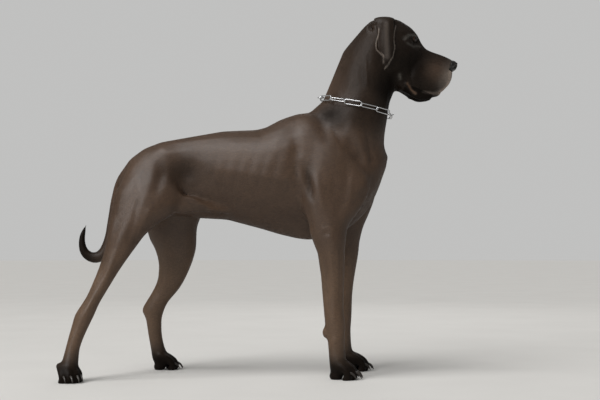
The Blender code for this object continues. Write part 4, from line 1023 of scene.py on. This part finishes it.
def regions(points, normals):
    """The broad markings and the painted light and shade, in their order: colour, share at each point."""
    x, _, z = points.T
    s, t = head_ways(points)
    tail_low, tail_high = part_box("tail")
    tail_end = (1 - rise(tail_low.x + 0.02, tail_high.x, x)) * rise(0.33, 0.36, z) * (1 - rise(0.53, 0.56, z))
    # hip and thigh, where painted light goes
    lit_thigh = (1 - rise(-0.50, -0.44, x)) * rise(0.52, 0.58, z) * (1 - rise(0.66, 0.76, z))
    # the hollow of the flank, for painted shade
    flank_hollow_shade = spot(x, z, seen(182, 172, -0.13), 0.070, 0.050) * (np.abs(normals[:, 1]) > 0.2)
    return [
        (DARK, 0.76 * (rise(0.17, 0.30, x) * rise(0.70, 0.80, z))),              # neck
        (BROWN, 0.45 * (rise(0.1, 0.9, -normals[:, 2]) * rise(0.40, 0.50, z))),  # belly: painted shade, a darker brown where the body faces down
        # lower legs: a lighter brown, painted light where the legs catch the light
        (LIT_LEG_BROWN, 0.65 * (1 - rise(0.30, 0.46, z))),
        (BLACK, 0.95 * (1 - rise(0.035, 0.115, z))),                             # paws
        (DARK, 0.80 * head_part(points, -0.13, -0.05)),
        (BLACK, 0.80 * spot(s, t, (0.030, -0.080), 0.060, 0.055)),               # cheek: painted shade where the cheek turns away from the light
        (PLAIN, 0.70 * spot(s, t, (0.100, -0.072), 0.036, 0.034)),               # flews
        (BLACK, 0.92 * tail_end),
        # hip and thigh: a lighter, warmer brown, painted light where they catch the light
        (LIT_THIGH_BROWN, 0.45 * lit_thigh),
        (FROST, 0.60 * spot(s, t, (0.138, -0.075), 0.020, 0.036)),               # lip
        # painted shade in the hollow of the flank
        (BLACK, 0.62 * flank_hollow_shade),
        (BLACK, 0.55 * spot(x, z, seen(309.5, 180, -0.13), 0.014, 0.055)),       # behind the elbow: painted shade in the hollow behind the triceps
        (BLACK, 0.92 * spot(x, z, seen(388, 92, -0.04), 0.030, 0.060)),          # throat: painted shadow under the jaw
        (BLACK, 0.85 * spot(x, z, seen(331, 114, -0.07), 0.050, 0.040)),         # withers: painted shade at the base of the neck, between neck and shoulders
    ]


def coat_colours(points, normals):
    """The coat's colour at each point: black-brown with greyer, browner and blacker parts, some of them
    painted: shade in hollows, under the jaw, on the cheek and belly, and light on the hips, lower legs and
    ears.
    """
    out = np.tile(PLAIN, (len(points), 1))
    for shade, share in regions(points, normals):
        out = mix(out, shade, share)
    across = np.abs(points[:, 1] - HOME.y)
    s, t = head_ways(points)
    head = is_head(points)
    ear = is_ear(points) & (across > 0.050)
    temple = head & (across > 0.026)
    # painted highlights along the rims of the ears
    for path in EAR_RIM_HIGHLIGHTS:
        tint_line(out, points, path, 1.3, "8f8175", 0.62, EAR_SIDE, ear)
    # painted highlight down the middle of the ear
    tint_line(out, points, EAR_MIDDLE_HIGHLIGHT, 8.0, "5e534b", 0.45, EAR_SIDE, ear)
    tint_line(out, points, LIP_FRONT, 5.5, "a09084", 0.72, -0.03, head)
    tint_line(out, points, LIP_BELOW, 4.0, "7d6d61", 0.42, -0.04, head)
    tint_line(out, points, BROW, 4.2, "56534c", 0.34, FACE_SIDE, temple)
    tint_line(out, points, UNDER_EYE, 3.6, "4f4c45", 0.30, FACE_SIDE, temple)
    tint_line(out, points, CHEEK_WART, 4.0, "5a544b", 0.36, -0.05, head)
    under_lip = head & (t < -0.141) & (s > 0.02)
    out[under_lip] = mix(out[under_lip], BLACK, np.full(under_lip.sum(), 0.75))
    tint_line(out, points, MOUTH_CORNER, 3.6, "745740", 0.50, FACE_SIDE, head)
    return out


def tint_line(out, points, path, width, code, share, deep, where):
    """Colours the coat along a line seen in the photograph, on both sides, width in mm."""
    path = seen_path(path, deep)
    chosen, near, _ = near_path(points[:, [0, 2]], path, width / 1000)
    share = share * np.exp(-(near * 1000 / width) ** 2) * where[chosen]
    out[chosen] = mix(out[chosen], np.array(colour(code)[:3]), share)


def paint_colours(thing):
    """Gives the skin the coat's colours, painted light and shade included, for where it shows between the
    tufts.
    """
    points, normals = points_of(thing), normals_of(thing)
    layer = thing.data.attributes.new("coat_colour", "FLOAT_COLOR", "POINT")
    colours = np.ones((len(points), 4))
    colours[:, :3] = coat_colours(points, normals)
    layer.data.foreach_set("color", colours.ravel())


# Coat

TAIL_PATH = [
    (127, 168), (112, 200), (106, 232), (101, 258), (92, 262), (84, 256), (80, 245), (80.5, 234), (86, 224)]


def way_along_tail(points):
    """The way of the tail's bend at each point."""
    path = seen_path(TAIL_PATH, 0.03)
    place = distance_along(points[:, [0, 2]], path)[1]
    lengths = np.linalg.norm(np.diff(path, axis=0), axis=1)
    ends = np.cumsum(lengths) / lengths.sum()
    which = np.minimum(np.searchsorted(ends, place), len(lengths) - 1)
    steps = np.diff(path, axis=0) / lengths[:, None]
    return np.stack([steps[which, 0], np.zeros(len(points)), steps[which, 1]], axis=1)


def lie_of_coat(points, normals):
    """The way the hair lies at each point, from root to tip, flat on the skin."""
    x, _, z = (points - np.array(HOME)).T
    lower = 1 - rise(0.45, 0.72, z)
    way = np.stack([-np.ones_like(x), np.zeros_like(x), -0.20 - 0.55 * lower], axis=1)
    # neck, shoulder and forelegs, then thighs and hind legs, run down
    way = mix(way, np.array([-0.55, 0.0, -0.85]), rise(0.08, 0.20, x) * rise(0.66, 0.80, z))
    way = mix(way, np.array([-0.12, 0.0, -1.0]), rise(0.02, 0.10, x) * (1 - rise(0.62, 0.74, z)))
    way = mix(way, np.array([-0.42, 0.0, -0.90]), (1 - rise(-0.36, -0.24, x)) * (1 - rise(0.62, 0.74, z)))
    # head: back from the nose, down over cheeks and lips
    s, t = head_ways(points)
    over = -np.array(AHEAD)[None, :] * (1 - 0.35 * (1 - rise(-0.10, -0.02, t)))[:, None] \
        - np.array(UP)[None, :] * (0.45 * (1 - rise(-0.11, -0.02, t)))[:, None]
    way = mix(way, over, head_part(points, -0.14, -0.08))
    ears = is_ear(points) & (s < 0.03)
    way = np.where(ears[:, None], np.array([0.05, 0.0, -1.0]), way)
    on_tail = in_box(points, "tail", 0.002)
    way[on_tail] = way_along_tail(points[on_tail])
    # feet: forward over the toes
    way = mix(way, np.array([0.85, 0.0, -0.45]), 1 - rise(0.05, 0.10, z))
    way = way - normals * (way * normals).sum(axis=1)[:, None]
    return way / np.maximum(np.linalg.norm(way, axis=1), 1e-9)[:, None]


def tuft_size(points):
    """How large a tuft is at each point, as a share of one on the back."""
    z = points[:, 2]
    size = 1 - 0.25 * (1 - rise(0.34, 0.50, z))
    size = size * (1 - 0.30 * (1 - rise(0.06, 0.12, z)))
    size = size * (1 - 0.42 * head_part(points, -0.14, -0.05))
    return np.where(is_ear(points), 0.52, size)


def tuft_height(points, normals):
    """How far the tips stand off: flat on the trunk, rougher at the edges and parting lines of the coat."""
    x, _, z = (points - np.array(HOME)).T
    height = np.full(len(points), 0.30)
    belly = rise(0.3, 0.9, -normals[:, 2]) * rise(0.42, 0.50, z)
    height += 0.35 * belly
    breeches = (1 - rise(-0.56, -0.50, x)) * rise(0.30, 0.40, z)
    height += 0.30 * breeches
    chest = rise(0.20, 0.26, x) * (1 - rise(0.68, 0.76, z)) * rise(0.45, 0.52, z)
    height += 0.20 * chest
    height *= 1 - 0.55 * head_part(points, -0.14, -0.05)
    height *= 1 - 0.30 * (1 - rise(0.06, 0.12, z))
    return height / 1000


def roots_on(skin):
    """Random roots over the skin, closer together where the tufts are smaller."""
    mesh = skin.data
    mesh.calc_loop_triangles()
    found = []
    for name in ("vertices", "loops"):
        values = np.empty(len(mesh.loop_triangles) * 3, np.int32)
        mesh.loop_triangles.foreach_get(name, values)
        found.append(values.reshape(-1, 3))
    corners, loops = found
    flat = np.empty(len(mesh.loops) * 2)
    mesh.uv_layers[0].data.foreach_get("uv", flat)
    points, normals = points_of(skin), normals_of(skin)
    a, b, c = (points[corners[:, i]] for i in range(3))
    area = np.linalg.norm(np.cross(b - a, c - a), axis=1) / 2 * 1e6
    wanted = area * TUFTS_PER_SQUARE_MM / tuft_size((a + b + c) / 3) ** 2
    count = np.floor(wanted + RANDOM.random(len(wanted))).astype(int)
    face = np.repeat(np.arange(len(corners)), count)
    u, v = RANDOM.random(len(face)), RANDOM.random(len(face))
    over = u + v > 1
    u[over], v[over] = 1 - u[over], 1 - v[over]
    share = np.stack([1 - u - v, u, v], axis=1)
    root = (points[corners[face]] * share[:, :, None]).sum(axis=1)
    normal = (normals[corners[face]] * share[:, :, None]).sum(axis=1)
    normal /= np.maximum(np.linalg.norm(normal, axis=1), 1e-9)[:, None]
    chart = (flat.reshape(-1, 2)[loops[face]] * share[:, :, None]).sum(axis=1)
    kept = ~bare(root)
    return root[kept], normal[kept], chart[kept]


def bare(points):
    """Where no hair grows: on the eyes and their lids' edge, the nose leather and the soles."""
    out = points[:, 2] < 0.004
    for side in SIDES:
        centre, way = eye_frame(side)[:2]
        gap = points - np.array(centre)
        far = np.linalg.norm(gap, axis=1)
        out |= (far < 0.0185) & ((gap @ np.array(way)) > 0.60 * far)
    return out | in_box(points, "nose", 0.0005)


def unwrap(skin):
    """Lays the skin out flat, for the tufts' patches."""
    bpy.context.view_layer.objects.active = skin
    skin.select_set(True)
    bpy.ops.object.mode_set(mode="EDIT")
    bpy.ops.mesh.select_all(action="SELECT")
    bpy.ops.uv.smart_project(angle_limit=math.radians(66), island_margin=0.002)
    bpy.ops.object.mode_set(mode="OBJECT")


def shape_tufts(skin, root, normal):
    """Corners, shading and tones of the tufts, and which of them lie on open skin."""
    count = len(root)
    way = lie_of_coat(root, normal)
    across = np.cross(normal, way)
    stray = RANDOM.normal(0, 0.16, count)
    way = way * np.cos(stray)[:, None] + across * np.sin(stray)[:, None]
    across = np.cross(normal, way)
    size = tuft_size(root)
    length = TUFT_LENGTH * size * RANDOM.uniform(0.7, 1.25, count)
    half = TUFT_HALF_WIDTH * size * RANDOM.uniform(0.7, 1.3, count)
    lift = tuft_height(root, normal) * RANDOM.uniform(0.5, 1.6, count)
    tone = RANDOM.uniform(0.84, 1.20, count)
    left = root - across * half[:, None] - normal * TUFT_SINK
    right = root + across * half[:, None] - normal * TUFT_SINK
    end = root + way * length[:, None]
    # the tip is drawn to the skin, and the ridge bows where the skin falls away between
    tree = BVHTree.FromPolygons(points_of(skin).tolist(), [list(p.vertices) for p in skin.data.polygons])
    nearest = [tree.find_nearest(Vector(point)) for point in end.tolist()]
    ground = np.array([tuple(found[0]) for found in nearest])
    ground_normal = np.array([tuple(found[1]) for found in nearest])
    fall = ((ground - end) * normal).sum(axis=1)
    bow = np.where(fall > 0, 0.37, 0.12) * fall
    ridge = root + way * (RIDGE_ALONG * length)[:, None] + normal * (TUFT_RIDGE + 0.3 * lift + bow)[:, None]
    tip = ground + ground_normal * lift[:, None]
    shading = np.stack([normal - across * 0.22, normal + across * 0.22, normal, normal + way * 0.12], axis=1)
    shading /= np.linalg.norm(shading, axis=2)[:, :, None]
    level = (ground_normal * normal).sum(axis=1)
    open_skin = (fall > DEEPEST_FALL * size) & (fall < HIGHEST_FALL * size) & (level > 0.30)
    return np.stack([left, right, ridge, tip], axis=1), shading, tone, open_skin


def grow_coat(skin, material):
    """The whole coat of tufts, in pieces small enough to handle."""
    unwrap(skin)
    root, normal, chart = roots_on(skin)
    corners, shading, tone, open_skin = shape_tufts(skin, root, normal)
    colours = np.ones((len(root), 4))
    colours[:, :3] = coat_colours(root, normal) * tone[:, None]
    patch = np.array([[-PATCH, -PATCH], [PATCH, -PATCH], [0.0, 0.0], [0.0, PATCH]])
    charts = np.clip(chart[:, None, :] + patch[None], 0.0, 1.0)
    part = coat_part(root)
    for index, name in enumerate(COAT_NAMES):
        mine = np.nonzero((part == index) & open_skin)[0]
        if len(mine):
            tufts(name, corners[mine], shading[mine], charts[mine], colours[mine], material)


FACES_OF_TUFT = np.array([[0, 2, 1], [0, 3, 2], [1, 2, 3], [0, 1, 3]])


def tufts(name, corners, shading, charts, colours, material):
    """One mesh of closed tufts: a root two points wide, a ridge and a tip."""
    count = len(corners)
    mesh = bpy.data.meshes.new(name)
    mesh.vertices.add(count * 4)
    mesh.vertices.foreach_set("co", corners.reshape(-1))
    faces = (np.arange(count)[:, None, None] * 4 + FACES_OF_TUFT[None]).reshape(-1)
    mesh.loops.add(len(faces))
    mesh.loops.foreach_set("vertex_index", faces)
    mesh.polygons.add(count * 4)
    mesh.polygons.foreach_set("loop_start", np.arange(count * 4) * 3)
    mesh.polygons.foreach_set("loop_total", np.full(count * 4, 3))
    mesh.update(calc_edges=True)
    mesh.normals_split_custom_set_from_vertices(shading.reshape(-1, 3))
    uv = mesh.uv_layers.new(name="OFBake")
    uv.data.foreach_set("uv", charts[:, FACES_OF_TUFT.reshape(-1)].reshape(-1))
    layer = mesh.attributes.new("coat_colour", "FLOAT_COLOR", "POINT")
    layer.data.foreach_set("color", np.repeat(colours, 4, axis=0).reshape(-1))
    mesh.materials.append(material)
    thing = in_scene(name, mesh)
    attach(thing, "root")
    return thing


COAT_NAMES = (["coat_trunk_%s_%s" % (part, side) for part in ("front", "rear") for side in ("right", "left")]
              + ["coat_neck", "coat_muzzle", "coat_skull", "coat_ears", "coat_tail"]
              + ["coat_leg_" + foot for foot in FEET])


def coat_part(points):
    """Which of the coat's pieces a tuft belongs to, so that none grows too large."""
    x, y, z = points.T
    left, rear, below = y > HOME.y, x <= -0.05, z < 0.45
    out = 2 * rear + left
    out[below] = (9 + out)[below]
    out[(z > 0.76) & (x > 0.16)] = COAT_NAMES.index("coat_neck")
    head = is_head(points)
    ahead = head_ways(points[head])[0] > 0.035
    out[head] = np.where(ahead, COAT_NAMES.index("coat_muzzle"), COAT_NAMES.index("coat_skull"))
    out[is_ear(points)] = COAT_NAMES.index("coat_ears")
    out[in_box(points, "tail", 0.002)] = COAT_NAMES.index("coat_tail")
    return out


# Stage

SUN_FROM = Vector((-0.70, -0.75, 1.6))
LAMPS_AIM = Vector((0.0, 0.0, 0.7))
LAMPS = [("key", (-2.6, -3.0, 2.2), 1.6, 55), ("back", (0.6, 3.4, 2.6), 2.4, 14)]


def hang(light, place, back):
    """Puts a light in its place, shining away from the way back."""
    holder = in_scene(light.name, light)
    holder.location = place
    holder.rotation_euler = back.to_track_quat("Z", "Y").to_euler()


def stage(floor_paint):
    """A pale floor under an even sky, one soft sun from behind the dog's right, and two lamps."""
    bm = bmesh.new()
    bmesh.ops.create_circle(bm, segments=96, radius=30.0, cap_ends=True)
    floor = new_thing(bm, "floor")
    floor.data.materials.append(floor_paint)
    sky = bpy.data.worlds.new("studio")
    sky.use_nodes = True
    tree = sky.node_tree
    tree.nodes["Background"].inputs["Color"].default_value = colour("e9e9e8")
    seen_directly = add(tree, "ShaderNodeLightPath").outputs["Is Camera Ray"]
    strength = add(tree, "ShaderNodeMapRange", {"To Min": 0.34, "To Max": 0.65}, {"Value": seen_directly})
    tree.links.new(strength.outputs[0], tree.nodes["Background"].inputs["Strength"])
    bpy.context.scene.world = sky
    bpy.context.scene.view_settings.view_transform = "Standard"
    sun = bpy.data.lights.new("ceiling", "SUN")
    sun.energy = 2.3
    sun.angle = math.radians(40)
    hang(sun, (0, 0, 0), SUN_FROM)
    for name, place, size, power in LAMPS:
        lamp = bpy.data.lights.new(name, "AREA")
        lamp.shape = "DISK"
        lamp.size = size
        lamp.energy = power
        hang(lamp, place, Vector(place) - LAMPS_AIM)


def camera():
    """The photograph's camera, to the dog's right."""
    eye = bpy.data.cameras.new("camera")
    eye.sensor_width = SENSOR
    eye.lens = LENS
    eye.shift_y = SHIFT_Y
    holder = in_scene("camera", eye)
    holder.location = HOME + CAMERA_PLACE
    holder.rotation_euler = (math.pi / 2, 0, 0)
    bpy.context.scene.camera = holder


coat = coat_material()
leather = leather_material()
skin = make_skin()
paint_colours(skin)
skin.data.materials.clear()
skin.data.materials.append(coat)
grow_coat(skin, coat)
pieces = [(nose_leather(), leather)]
wet = eye_material()
lid_edge = lid_material()
for side in SIDES:
    pieces.append((eyeball(side), wet))
    pieces.append((lid_rim(side), lid_edge))
horn = horn_material()
for foot in FEET:
    pieces.append((claws_of(foot), horn))
chrome = chrome_material()
for name in sorted(n for n in NODES if n.startswith("collar_")):
    pieces.append((chain_link(name), chrome))
for thing, material in pieces:
    thing.data.materials.clear()
    thing.data.materials.append(material)
stage(floor_material())
camera()
